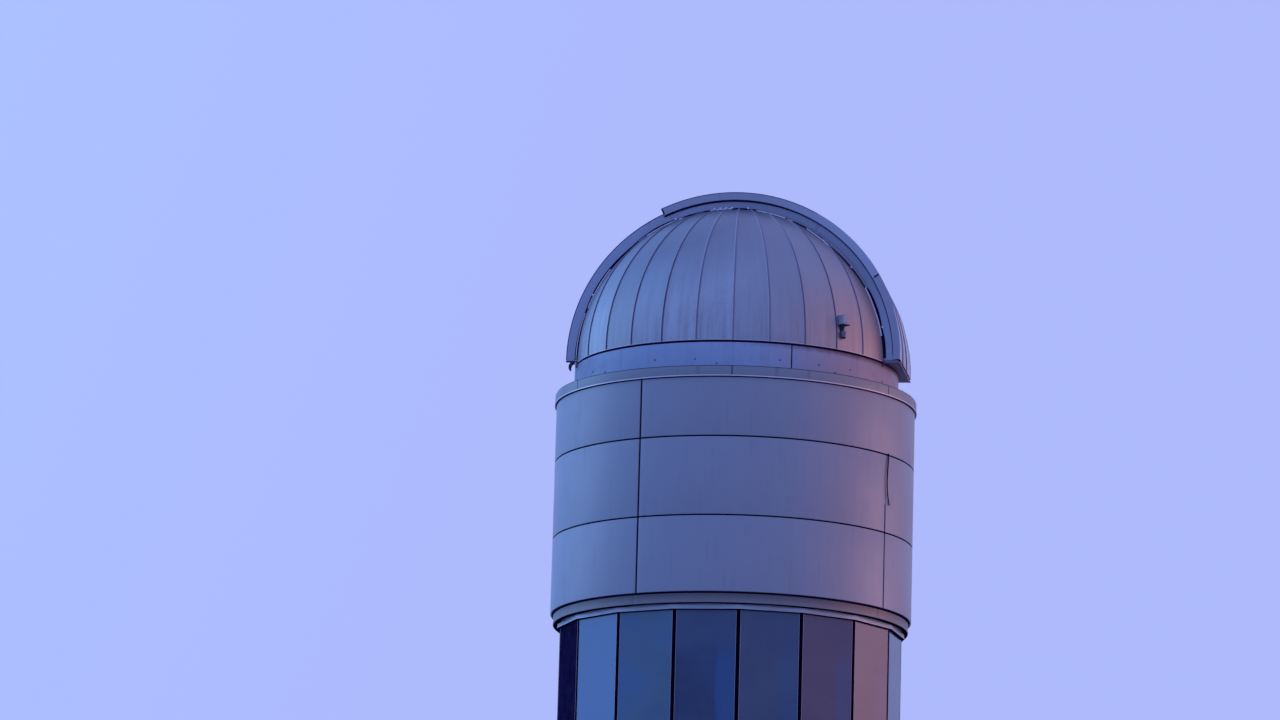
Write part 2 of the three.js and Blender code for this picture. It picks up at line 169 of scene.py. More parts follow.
def make_camera():
    data = bpy.data.cameras.new("photo_camera")
    data.sensor_width = FILM_WIDTH
    data.lens = FOCAL_PIXELS * FILM_WIDTH / PHOTO_WIDTH
    data.clip_start = 0.5
    data.clip_end = 500
    camera = linked("photo_camera", data)
    heading = Matrix.Rotation(CAMERA_TURN - CAMERA_YAW, 4, "Z")
    tilt = Matrix.Rotation(math.pi / 2 + CAMERA_PITCH, 4, "X")
    pose = heading @ tilt @ Matrix.Rotation(CAMERA_ROLL, 4, "Z")
    pose.translation = turned((0, -CAMERA_DISTANCE, CAMERA_HEIGHT))
    camera.matrix_world = pose
    bpy.context.scene.camera = camera


def make_world():
    """Soft dusk light: blue from the left, pink from the right, pale behind, dim below."""
    world = bpy.data.worlds.new("dusk")
    nodes = Nodes(world)
    where = nodes.add("TexCoord").outputs["Generated"]
    lobes = [
        ((0, 1, 0), -0.1, 0.8, (0.42, 0.49, 0.97)),
        ((-0.80, 0.45, 0.40), 0.50, 0.97, (0.38, 0.69, 1.50)),
        ((1, 0.05, 0.0), 0.55, 0.99, (0.78, 0.395, 0.49)),
        ((0, 0, -1), 0.02, 0.4, (0.07, 0.07, 0.13)),
    ]
    colour = (0.268, 0.380, 0.872)
    for towards, start, full, tint in lobes:
        aim = {0: where, 1: turned(towards).normalized()}
        dot = nodes.add("VectorMath", aim, operation="DOT_PRODUCT").outputs["Value"]
        inputs = {"Value": dot, "From Min": start, "From Max": full}
        share = nodes.add("MapRange", inputs, interpolation_type="SMOOTHSTEP").outputs["Result"]
        colour = nodes.mix(share, colour, tint)
    background = nodes.add("Background", {"Color": colour})
    nodes.add("OutputWorld", {0: background.outputs[0]})
    bpy.context.scene.world = world


def softbox(name, place, width, height, power, tint):
    data = bpy.data.lights.new(name, "AREA")
    data.shape = "RECTANGLE"
    data.size = width
    data.size_y = height
    data.energy = power
    data.color = tint
    lamp = linked(name, data)
    lamp.location = turned(place)
    aim = Vector((0, 0, 6.5)) - lamp.location
    lamp.rotation_mode = "QUATERNION"
    lamp.rotation_quaternion = aim.to_track_quat("-Z", "Y")


def make_lights():
    softbox("left_softbox", (-30, 9, 14), 16, 22, 800, (0.50, 0.76, 1.0))
    softbox("right_softbox", (31, 5, 5), 16, 16, 1200, (1.0, 0.52, 0.52))
    bpy.context.scene.view_settings.view_transform = "Standard"


# Materials

class Surface(Nodes):
    """A procedural material: one Principled shader and the nodes that feed it."""

    def __init__(self, name, metallic=0.0, specular=0.5):
        self.material = bpy.data.materials.new(name)
        super().__init__(self.material)
        self.shader = self.add("BsdfPrincipled", {"Metallic": metallic, "Specular IOR Level": specular})
        self.add("OutputMaterial", {0: self.shader.outputs[0]})

    def place(self, stretch=(1, 1, 1), source="Object"):
        """Texture coordinates of the row frame, or of the piece's own length and width, stretched."""
        coordinates = self.add("TexCoord").outputs[source]
        return self.add("Mapping", {"Vector": coordinates, "Scale": stretch}).outputs[0]

    def axes(self, where):
        return self.add("SeparateXYZ", {0: where}).outputs

    def noise(self, where, scale, detail=3.0, roughness=0.5):
        inputs = {"Vector": where, "Scale": scale, "Detail": detail, "Roughness": roughness}
        return self.add("TexNoise", inputs).outputs[0]

    def cells(self, where, scale):
        node = self.add("TexVoronoi", {"Vector": where, "Scale": scale})
        return self.add("SeparateColor", {0: node.outputs["Color"]}).outputs[0]

    def attribute(self, name):
        return self.add("Attribute", attribute_name=name).outputs["Fac"]

    def calculate(self, operation, *values):
        return self.add("Math", dict(enumerate(values)), operation=operation).outputs[0]

    def product(self, first, *others):
        for other in others:
            first = self.calculate("MULTIPLY", first, other)
        return first

    def sums(self, value):
        """A socket as it is, or the sum of a list of (socket, weight) pairs."""
        if not isinstance(value, list):
            return value
        total = None
        for socket, weight in value:
            share = self.product(socket, weight)
            total = share if total is None else self.calculate("ADD", total, share)
        return total

    def spread(self, value, low, high, to_low=0.0, to_high=1.0):
        """The stretch from low to high turned into another one; what lies beyond stays at its ends."""
        ends = {"From Min": low, "From Max": high, "To Min": to_low, "To Max": to_high}
        return self.add("MapRange", {"Value": self.sums(value), **ends}, clamp=True).outputs["Result"]

    def tones(self, value, first, *rest):
        """Colour ramp over (position, colour) stops."""
        node = self.add("ValToRGB", {0: self.sums(value)})
        ramp = node.color_ramp
        for element, (position, colour) in zip(ramp.elements, (first, rest[-1])):
            element.position = position
            element.color = (*colour, 1)
        for position, colour in rest[:-1]:
            ramp.elements.new(position).color = (*colour, 1)
        return node.outputs[0]

    def layers(self, base, *layers):
        """Colours over a base, each with its share: a socket, or the values of a spread."""
        for share, colour in layers:
            base = self.mix(self.spread(*share) if isinstance(share, tuple) else share, base, colour)
        return base

    def finish(self, colour, roughness, height, distance, strength):
        """The material, once its colour, its spread roughness and its bumps are in place."""
        bump = self.add("Bump", {"Height": self.sums(height), "Distance": distance, "Strength": strength})
        sockets = {"Base Color": colour, "Roughness": self.spread(*roughness), "Normal": bump.outputs[0]}
        for name, socket in sockets.items():
            self.tree.links.new(socket, self.shader.inputs[name])
        return self.material


def shade(tone, *factors):
    """A colour times one factor or three."""
    return tuple(c * f for c, f in zip(tone, factors if len(factors) > 1 else factors * 3))


def painted_sheet(name, tone, metallic, roughness, dirt=0.30, painted_lighting=1.0):
    """Factory-painted sheet: faint waves, rain streaks, dust in patches, fine grain, painted light where
    set.
    """
    s = Surface(name, metallic)
    where = s.place()
    broad = s.noise(where, 0.55, 2.0)
    patch = s.noise(where, 2.6, 4.0, 0.6)
    streak = s.noise(s.place((9, 9, 0.35)), 1.6, 5.0, 0.6)
    grain = s.noise(where, 170, 2.0)
    base = s.tones([(broad, 0.4), (patch, 0.35), (streak, 0.25)],
                   (0.30, shade(tone, 0.93)), (0.5, tone), (0.72, shade(tone, 1.07)))
    base = s.layers(base, (([(streak, 0.6), (patch, 0.4)], 0.54, 0.74, 0.0, dirt), shade(tone, 0.55)),
                    ((grain, 0.62, 0.8, 0.0, 0.05), shade(tone, 1.6)))
    # Painted light: the piece's per-point values make the paint paler, standing in for light and shade
    if painted_lighting > 1:
        base = s.layers(base, ((s.attribute("painted_light"), 0.0, 1.0, 0.0, 0.8), shade(tone, painted_lighting)))
    rough = ([(patch, 0.6), (streak, 0.4)], 0.3, 0.7, roughness - 0.06, roughness + 0.08)
    return s.finish(base, rough, [(broad, 1.0), (grain, 0.02)], 0.012, 0.35)


def bare_sheet(name, tone, metallic, roughness, wear=None):
    """Galvanised sheet: spangle, rolling streaks along the sheet's length, a tone of its own per sheet."""
    s = Surface(name, metallic)
    where = s.place()
    broad = s.noise(where, 1.1, 3.0)
    rolling = s.noise(s.place((26, 0.9, 1), "UV"), 1.0, 4.0, 0.6)
    runs = s.noise(s.place((7, 0.35, 1), "UV"), 1.0, 3.0, 0.55)
    crystal = s.cells(where, 42)
    grain = s.noise(where, 210, 2.0)
    value = [(s.attribute("tone"), 0.55), (broad, 0.5), (rolling, 0.22), (runs, 0.35), (crystal, 0.10)]
    base = s.tones(value, (0.35, shade(tone, 0.76)), (0.85, tone), (1.35, shade(tone, 1.18)))
    stain = ([(runs, 0.7), (broad, 0.3)], 0.56, 0.75, 0.0, 0.30)
    base = s.layers(base, (stain, shade(tone, 0.62, 0.55, 0.62)))
    if wear:
        base = wear(s, base, tone, where, broad, runs)
    rough = ([(broad, 0.5), (rolling, 0.3), (crystal, 0.2)], 0.2, 0.8, roughness - 0.07, roughness + 0.10)
    return s.finish(base, rough, [(broad, 1.0), (rolling, 0.06), (grain, 0.012)], 0.010, 0.35)


def gore_wear_and_light(s, base, tone, where, broad, runs):
    """Wear and painted light of the gores: darker crown and west, grime at the foot, painted pink light in
    the east, painted shade beside the rails in the east, more painted pink light low in the east.
    """
    x, y, z = s.axes(where)
    west = s.spread(x, -0.4, 0.5, 0.65, 0.0)
    crown = ([(z, 1.0), (broad, 0.6), (west, 1.0)], 9.45, 10.45, 0.0, 0.92)
    # Painted light: the east side takes a pink tint
    east = s.spread(x, 0.2, 1.2)
    # Painted shade: darker beside the rails in the east
    rim = s.product(s.spread(s.calculate("ABSOLUTE", y), 0.84, 1.16, 0.60, 0.0), east)
    blots = s.noise(s.place((11, 0.9, 1), "UV"), 1.0, 4.0, 0.6)
    low = s.spread([(z, 1.0), (runs, 0.8)], 8.25, 9.2, 1.0, 0.0)
    grime = s.product(low, s.spread(blots, 0.42, 0.66, 0.0, 0.55))
    # Painted light: pinker low down in the far east
    painted_glow = s.product(s.spread(x, 1.5, 2.2, 0.0, 0.45), s.spread(z, 8.2, 9.2, 1.0, 0.0))
    return s.layers(base, (crown, shade(tone, 0.66, 0.62, 0.68)),
                    (s.product(east, 0.5), shade(tone, 0.98, 0.86, 0.85)),
                    (rim, shade(tone, 0.52, 0.46, 0.56)), (grime, shade(tone, 0.60, 0.50, 0.58)),
                    (painted_glow, shade(tone, 1.05, 0.88, 0.80)))


def drum_sheet(name, tone):
    """Weathered painted sheet of the drum: dark runs, stains, scuffs, painted pink light in the east and
    blue light in the west, and a dark red band under the top edge in the east, partly rusted and partly
    painted shadow.
    """
    s = Surface(name, 0.25)
    where = s.place()
    broad = s.noise(where, 0.9, 3.0)
    patch = s.noise(where, 4.5, 5.0, 0.62)
    runs = s.noise(s.place((8, 8, 0.5)), 1.5, 5.0, 0.6)
    scuff = s.noise(s.place((3, 3, 22)), 1.0, 3.0)
    grain = s.noise(where, 160, 2.0)
    x, _, z = s.axes(where)
    # Dark red band under the top edge in the east: partly rusted, partly the painted shadow of the dome's
    # overhang
    edge = s.spread([(z, 1.0), (runs, 0.06)], DRUM_Z[1] - 0.045, DRUM_Z[1] + 0.020)
    rust_and_shadow = s.product(edge, s.spread(x, 0.3, 1.9, 0.0, 0.9))
    base = s.tones([(broad, 0.5), (patch, 0.5)],
                   (0.30, shade(tone, 0.86)), (0.52, tone), (0.72, shade(tone, 1.12)))
    stain = ([(runs, 0.55), (patch, 0.45)], 0.52, 0.70, 0.0, 0.55)
    base = s.layers(base, (stain, shade(tone, 0.62, 0.50, 0.55)),
                    ((scuff, 0.66, 0.76, 0.0, 0.35), shade(tone, 1.35)),
                    # Painted light: pinker on the east side, darker and bluer on the west side
                    ((x, 0.6, 2.5, 0.0, 0.8), (0.31, 0.225, 0.265)),
                    ((x, -0.7, -2.2, 0.0, 0.75), (0.15, 0.19, 0.31)), (rust_and_shadow, (0.085, 0.026, 0.045)))
    bumps = [(broad, 1.0), (patch, 0.12), (grain, 0.02)]
    return s.finish(base, (patch, 0.3, 0.7, 0.36, 0.56), bumps, 0.008, 0.4)


def plain_finish(name, tone, roughness=0.6, metallic=0.2, specular=0.5, wear=None):
    """Metal, plastic or rubber in one tone with soft patches and a fine grain."""
    s = Surface(name, metallic, specular)
    where = s.place()
    patch = s.noise(where, 5, 4.0, 0.6)
    grain = s.noise(where, 140, 2.0)
    base = s.tones(patch, (0.3, shade(tone, 0.7)), (0.7, shade(tone, 1.5)))
    if wear:
        base = wear(s, base, where, patch)
    rough = (patch, 0.3, 0.7, roughness - 0.1, roughness + 0.1)
    return s.finish(base, rough, [(patch, 0.5), (grain, 0.1)], 0.003, 0.4)


def seam_tones_and_light(s, base, where, patch):
    """Tones of the gores' raised joints: dark low down, paler towards the crown, and paler in the middle as
    painted light.
    """
    x, _, z = s.axes(where)
    # Painted light: joints in the middle are paler
    beside = s.calculate("ABSOLUTE", s.calculate("SUBTRACT", x, 0.35))
    return s.layers(base, (([(z, 1.0), (patch, 0.8)], 9.1, 10.7, 0.0, 0.50), (0.20, 0.20, 0.30)),
                    ((beside, 0.45, 1.15, 0.72, 0.0), (0.25, 0.27, 0.37)))


def seal_rubber(name):
    """Rubber of the shutters' seals, black as the painted shadow under the skirts, and lighter blue where
    painted light is set.
    """
    s = Surface(name, 0.0, 0.0)
    patch = s.noise(s.place(), 5, 4.0, 0.6)
    base = s.tones(patch, (0.3, (0.006, 0.004, 0.022)), (0.7, (0.014, 0.010, 0.046)))
    base = s.layers(base, ((s.attribute("painted_light"), 0.0, 1.0, 0.0, 0.9), (0.052, 0.064, 0.175)))
    return s.finish(base, (patch, 0.3, 0.7, 0.7, 0.9), patch, 0.002, 0.4)


def window_glass(name):
    """Dark coated glass with painted reflections: a reflected tone per pane, slow clouds of reflection, a
    lighter reflected strip at one edge, lighter reflection high up, pink reflection, and dust.
    """
    s = Surface(name)
    where = s.place()
    reflected_cloud = s.noise(s.place((0.9, 0.9, 1.1)), 0.9, 3.0, 0.55)
    level = s.noise(s.place((0.3, 0.3, 2.0)), 1.0, 2.0, 0.5)
    dust = s.noise(s.place((3, 3, 0.6)), 2.0, 5.0, 0.6)
    across, height, _ = s.axes(s.place(source="UV"))
    own = s.attribute("strip")
    edge = s.spread([(across, 1.0), (level, 0.16)], 0.74, 0.80)
    strip = s.product(edge, s.spread([(height, 1.0), (reflected_cloud, 0.5)], 3.1, 3.6, 1.0, 0.0), own)
    high = s.spread([(height, 1.0), (reflected_cloud, 0.9)], 3.30, 4.05, 0.0, 0.6)
    high_reflection = s.product(high, s.spread(own, 0.0, 0.2))
    # The ramp runs from dark glass to reflected sky: painted reflection
    base = s.tones([(s.attribute("tone"), 0.80), (reflected_cloud, 0.42), (level, 0.22)],
                   (0.16, (0.004, 0.003, 0.022)), (0.40, (0.023, 0.062, 0.148)),
                   (0.56, (0.060, 0.104, 0.168)), (0.76, (0.080, 0.165, 0.240)),
                   (0.94, (0.045, 0.150, 0.335)))
    # Painted pink reflection, the painted strip and high reflections, then real dust
    base = s.layers(base, ((s.attribute("pink_reflection"), 0.0, 1.0, 0.0, 0.75), (0.082, 0.062, 0.125)),
                    (strip, (0.026, 0.105, 0.250)), (high_reflection, (0.058, 0.098, 0.185)),
                    ((dust, 0.60, 0.80, 0.0, 0.10), (0.16, 0.17, 0.22)))
    return s.finish(base, (dust, 0.4, 0.8, 0.045, 0.16), s.noise(where, 0.7, 1.0), 0.010, 0.20)


def concrete(name, tone):
    s = Surface(name)
    where = s.place()
    broad = s.noise(where, 1.2, 4.0, 0.6)
    pores = s.noise(where, 38, 4.0, 0.7)
    grit = s.cells(where, 130)
    runs = s.noise(s.place((7, 7, 0.8)), 1.4, 4.0)
    base = s.tones([(broad, 0.5), (pores, 0.3), (grit, 0.2)],
                   (0.25, shade(tone, 0.72)), (0.5, tone), (0.8, shade(tone, 1.22)))
    base = s.layers(base, ((runs, 0.55, 0.75, 0.0, 0.35), shade(tone, 0.55)))
    bumps = [(broad, 0.4), (pores, 0.5), (grit, 0.1)]
    return s.finish(base, (pores, 0.3, 0.7, 0.77, 0.93), bumps, 0.004, 0.6)


def studio_floor(name):
    s = Surface(name)
    colour = s.tones(s.noise(s.place(), 0.8, 3.0), (0.3, (0.50, 0.51, 0.56)), (0.7, (0.56, 0.57, 0.62)))
    s.tree.links.new(colour, s.shader.inputs["Base Color"])
    s.shader.inputs["Roughness"].default_value = 0.8
    return s.material


# Each row gives a material's name and then what its function takes after the name
FINISHES = {
    painted_sheet: [
        ("cladding_paint", (0.292, 0.322, 0.395), 0.25, 0.42),
        ("coping_paint", (0.25, 0.28, 0.33), 0.35, 0.42, 0.45),
        ("lap_paint", (0.215, 0.240, 0.285), 0.35, 0.45, 0.6),
        # In the trim, rail and shutter rows the last number is how much paler painted light makes the paint
        ("trim_paint", (0.112, 0.107, 0.121), 0.30, 0.45, 0.40, 2.3),
        ("head_paint", (0.38, 0.44, 0.52), 0.30, 0.45, 0.40),
        # Light paint of thin edges and lips: painted highlight
        ("lip_paint", (0.72, 0.65, 0.74), 0.45, 0.34, 0.2),
        # Paler paint of the head band's lip: painted highlight
        ("head_lip_paint", (0.44, 0.46, 0.54), 0.4, 0.36, 0.2),
        ("rail_paint", (0.26, 0.30, 0.40), 0.40, 0.42, 0.35, 1.8),
        ("shutter_paint", (0.32, 0.35, 0.45), 0.40, 0.38, 0.35, 1.5),
        ("soffit_paint", (0.22, 0.18, 0.28), 0.2, 0.55, 0.5),
        ("trim_edge_paint", (0.34, 0.35, 0.43), 0.4, 0.34, 0.2),
    ],
    plain_finish: [
        ("dark_steel", (0.020, 0.016, 0.042)),
        # Black of gaskets and hidden walls, and of strips that stand in for shadow: partly painted shadow
        ("black_gasket", (0.010, 0.006, 0.036), 0.85, 0.0, 0.0),
        ("mullion_paint", (0.015, 0.015, 0.024), 0.45, 0.3),
        # Dark blue of thin lines along outer edges: painted shade
        ("bead_paint", (0.060, 0.062, 0.150), 0.5, 0.1, 0.2),
        ("clip_metal", (0.74, 0.77, 0.88), 0.4, 0.3),
        ("sensor_shell", (0.32, 0.30, 0.36), 0.5, 0.0),
        ("sensor_cup_shell", (0.15, 0.13, 0.21), 0.5, 0.0),
        # Dark metal of bolt heads, also the painted shade line on the coping's top
        ("bolt_metal", (0.070, 0.065, 0.120), 0.5, 0.4),
        ("shaded_glass", (0.012, 0.009, 0.042), 0.25, 0.0, 0.0),
        # Black of joints and gaskets, also painted shadow at the fascia's foot and under the head band's lip
        ("joint_rubber", (0.002, 0.001, 0.008), 0.7, 0.0, 0.0),
        ("seam_metal", (0.085, 0.075, 0.150), 0.45, 0.4, 0.5, seam_tones_and_light),
    ],
    bare_sheet: [
        ("galvanised_sheet", (0.385, 0.415, 0.480), 0.85, 0.46, gore_wear_and_light),
        # Light sheet of the gores' laps and foot hem: painted highlight
        ("bright_flange", (0.58, 0.53, 0.62), 0.6, 0.40),
    ],
    drum_sheet: [("drum_paint", (0.33, 0.43, 0.61))],
    seal_rubber: [("seal_rubber",)],
    window_glass: [("window_glass",)],
    concrete: [("concrete", (0.33, 0.33, 0.36)), ("roofing_membrane", (0.16, 0.16, 0.18))],
    studio_floor: [("studio_floor",)],
}
LOOK = {row[0]: make(*row) for make, rows in FINISHES.items() for row in rows}


# Shapes: each is a list of points and a list of faces

def direction(azimuth):
    a = math.radians(azimuth)
    return Vector((math.sin(a), -math.cos(a), 0))


def polar(radius, azimuth, z):
    return direction(azimuth) * radius + Z * z


def slit_point(radius, angle, y):
    a = math.radians(angle)
    return Vector((radius * math.cos(a), y, CZ + radius * math.sin(a)))


def slit_angle(point):
    angle = math.degrees(math.atan2(point.z - CZ, point.x))
    return angle + 360 if angle < -90 else angle


def degrees_at(width, radius):
    return math.degrees(width / radius)


def span(start, end, steps):
    return [start + (end - start) * i / steps for i in range(steps + 1)]


def stationed(stations, at):
    """Value on straight lines between (angle, value) stations."""
    for (a, x), (b, y) in zip(stations, stations[1:]):
        if a <= at <= b:
            return x + (y - x) * (at - a) / (b - a)
    return stations[-1][1]


def painted_lighting(stations):
    """Painted-light values of a piece, which change with the slit angle."""
    return {"painted_light": lambda p: stationed(stations, slit_angle(p))}


def rectangle(r0, r1, z0, z1):
    return [(r0, z0), (r1, z0), (r1, z1), (r0, z1)]


def sweep(loops, closed=False):
    """Skin over closed loops of points; the ends are capped unless the sweep closes on itself."""
    size = len(loops[0])
    count = len(loops)
    points = [p for loop in loops for p in loop]
    faces = []
    for i in range(count if closed else count - 1):
        a = i * size
        b = ((i + 1) % count) * size
        for k in range(size):
            m = (k + 1) % size
            faces.append((a + k, a + m, b + m, b + k))
    if not closed:
        faces.append(tuple(range(size - 1, -1, -1)))
        faces.append(tuple((count - 1) * size + k for k in range(size)))
    return points, faces


def merge(shapes):
    points = []
    faces = []
    for shape_points, shape_faces in shapes:
        start = len(points)
        points.extend(shape_points)
        faces.extend(tuple(start + i for i in face) for face in shape_faces)
    return points, faces


def around(profile, start=0.0, end=360.0, step=2.0):
    """Profile of (radius, z) turned about the tower's axis, a full round where no angles are given."""
    full = end - start >= 360
    angles = span(start, end, max(1, round((end - start) / step)))
    if full:
        angles.pop()
    return sweep([[polar(r, a, z) for r, z in profile] for a in angles], full)


def ring(r0, r1, z0, z1):
    return around(rectangle(r0, r1, z0, z1))


def lengths(profile, joints, gap, step=2.0):
    """Lengths of a ring between joints that lie all round, with the gap in degrees."""
    ends = joints[1:] + [joints[0] + 360]
    return merge([around(profile, a + gap / 2, b - gap / 2, step) for a, b in zip(joints, ends)])


def patches(profile, azimuths, half):
    """Short lengths of a ring, each about its azimuth."""
    return merge([around(profile, a - half, a + half) for a in azimuths])


def facetted(profile):
    """Profile of (corner radius, z) on the panes' polygon."""
    angles = [(i + 0.5) * PANE_PITCH for i in range(PANES)]
    return sweep([[polar(r, a, z) for r, z in profile] for a in angles], True)


def arched(profile, start, end, step=1.5):
    """Profile of (radius, y), or a function of the angle that gives it, turned over the slit."""
    section = profile if callable(profile) else lambda angle: profile
    steps = max(1, round(abs(end - start) / step))
    return sweep([[slit_point(r, a, y) for r, y in section(a)] for a in span(start, end, steps)])


def rod(start, end, radius, sides=16, end_radius=None):
    """Round bar between two points, a cone where the end has a radius of its own."""
    axis = (end - start).normalized()
    side = axis.orthogonal().normalized()
    other = axis.cross(side)
    loops = []
    for centre, size in ((start, radius), (end, end_radius or radius)):
        loops.append([centre + (side * math.cos(t) + other * math.sin(t)) * size
                      for t in (2 * math.pi * i / sides for i in range(sides))])
    return sweep(loops)


def slab(origin, across, along, out, sizes):
    """Box on an origin, with its three half sizes along three directions."""
    a, b, c = (v.normalized() * s for v, s in zip((across, along, out), sizes))
    corners = ((-1, -1), (1, -1), (1, 1), (-1, 1))
    return sweep([[origin + k * c + i * a + j * b for i, j in corners] for k in (-1, 1)])


def box(x, y, z, *sizes):
    return slab(Vector((x, y, z)), X, Y, Z, sizes)


def radial_slab(azimuth, inner, outer, width, low, high):
    out = direction(azimuth)
    origin = out * ((inner + outer) / 2) + Z * ((low + high) / 2)
    return slab(origin, out.cross(Z), Z, out, (width / 2, (high - low) / 2, (outer - inner) / 2))


def grid_shell(points, columns, rows):
    """Faces of a closed sheet: an outer and an inner grid of points, joined round the rim."""
    size = rows + 1
    layer = (columns + 1) * size
    faces = []
    for i in range(columns):
        for j in range(rows):
            a = i * size + j
            b = a + size
            faces.append((a, b, b + 1, a + 1))
            faces.append((layer + a, layer + a + 1, layer + b + 1, layer + b))
        a = i * size
        faces.append((layer + a, layer + a + size, a + size, a))
        a += rows
        faces.append((a, a + size, layer + a + size, layer + a))
    for j in range(rows):
        faces.append((layer + j, j, j + 1, layer + j + 1))
        a = columns * size + j
        faces.append((a, layer + a, layer + a + 1, a + 1))
    return points, faces


def mirrored(shape):
    """The same shape on the other side of the slit."""
    points, faces = shape
    return [Vector((p.x, -p.y, p.z)) for p in points], [tuple(reversed(face)) for face in faces]


# Pieces

def mesh_object(name, shape, finish):
    points, faces = shape
    mesh = bpy.data.meshes.new(name)
    mesh.from_pydata([tuple(p) for p in points], [], faces)
    mesh.materials.append(LOOK[finish])
    return linked(name, mesh)


def piece(name, shape, finish, body, slot, nodes=(), bevel=0.0, uv=None, values=()):
    """Makes a mesh object for the frame. A value is a number, a list or a function of the point."""
    made = mesh_object(name, shape, finish)
    mesh = made.data
    if uv:
        layer = mesh.uv_layers.new(name="UVMap")
        for loop in mesh.loops:
            layer.data[loop.index].uv = uv[loop.vertex_index]
    for key, value in dict(values).items():
        if callable(value):
            value = [value(p) for p in shape[0]]
        elif not isinstance(value, list):
            value = [value] * len(shape[0])
        mesh.attributes.new(key, "FLOAT", "POINT").data.foreach_set("value", value)
    shell = bmesh.new()
    shell.from_mesh(mesh)
    bmesh.ops.recalc_face_normals(shell, faces=shell.faces)
    if bevel:
        sharp = [e for e in shell.edges if len(e.link_faces) == 2 and e.calc_face_angle() > SHARP]
        bmesh.ops.bevel(shell, geom=sharp, offset=bevel, offset_type="OFFSET", segments=2, profile=0.6,
                        affect="EDGES", clamp_overlap=True)
    shell.to_mesh(mesh)
    shell.free()
    mesh.shade_smooth()
    mesh.set_sharp_from_angle(angle=SHARP)
    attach(made, body)
    if nodes:
        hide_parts(*nodes)


def pair(name, shape, finish, slot, node=None, **more):
    """The same piece of the dome on the near and on the far side of the slit."""
    for wing, made in (("near", shape), ("far", mirrored(shape))):
        piece(name.format(wing), made, finish, "dome", slot, [node.format(wing)] if node else (), **more)


# Tower

def make_plinth():
    chamfer = 0.012
    back = PLINTH_INNER + 0.03
    profile = [(back, 0), (PLINTH_R, 0), (PLINTH_R, PLINTH_TOP - chamfer), (PLINTH_R - chamfer, PLINTH_TOP),
               (back, PLINTH_TOP)]
    joints = [(i + 0.5) * PANE_PITCH for i in range(PANES)]
    blocks = lengths(profile, joints, degrees_at(0.006, PLINTH_R))
    piece("plinth_blocks", blocks, "concrete", "tower", "concrete", ["base_plinth"], bevel=0.004)
    piece("plinth_core", ring(PLINTH_INNER, back - 0.001, 0, PLINTH_TOP), "dark_steel", "tower", "concrete")


def make_cladding():
    """Long curved panels with open joints in front of a dark wall."""
    gap = degrees_at(UPRIGHT_JOINT, CLAD_R)
    back = CLAD_R - PANEL_DEPTH
    for i, (row, joints) in enumerate(zip(ROWS, (PANEL_JOINTS, PANEL_JOINTS, TOP_JOINTS))):
        low = CLAD_LEVELS[i] + (0 if i else FOOT_JOINT)
        high = CLAD_LEVELS[i + 1] - (ROW_JOINT if i < 2 else 0)
        panels = lengths(rectangle(back, CLAD_R, low, high), joints, gap, 1.5)
        piece(f"cladding_panels_{row}", panels, "cladding_paint", "tower", "cladding",
              [f"cladding_row_{row}"], bevel=0.004)
    wall = ring(WALL_INNER, back - 0.002, CLAD_LEVELS[0], CLAD_LEVELS[-1] - 0.002)
    piece("cladding_back_wall", wall, "black_gasket", "tower", "mullion")
    liner_foot = 5.56
    liner = patches(rectangle(back, CLAD_R - 0.006, liner_foot, CLAD_LEVELS[2] - ROW_JOINT),
                    [PANEL_JOINTS[1]], gap / 2 - degrees_at(0.002, CLAD_R))
    piece("cladding_joint_liner", liner, "cladding_paint", "tower", "cladding")


def curve(p, q, r, s, t):
    """Smooth curve from q to r."""
    return 0.5 * (2 * q + (r - p) * t + (2 * p - 5 * q + 4 * r - s) * t ** 2
                  + (3 * q - p - 3 * r + s) * t ** 3)


def make_loose_gasket():
    """Strip of joint gasket that has come out of the upright joint and hangs down."""
    # Azimuth, height and distance from the cladding
    route = [(65.2, 6.350, 0.004), (64.9, 6.20, 0.010), (64.4, 6.04, 0.016), (64.2, 5.90, 0.018),
             (64.5, 5.76, 0.016), (65.2, 5.64, 0.012), (66.0, 5.545, 0.008)]
    ends = [route[0]] + route + [route[-1]]
    half = degrees_at(0.009, CLAD_R)
    section = rectangle(-half, half, 0.0, 0.010)
    steps = 6
    loops = []
    for i in range(len(route) - 1):
        for k in range(steps + (i == len(route) - 2)):
            azimuth, z, proud = (curve(*values, k / steps) for values in zip(*ends[i:i + 4]))
            loops.append([polar(CLAD_R + proud + d, azimuth + h, z) for h, d in section])
    piece("loose_gasket", sweep(loops), "joint_rubber", "tower", "mullion")


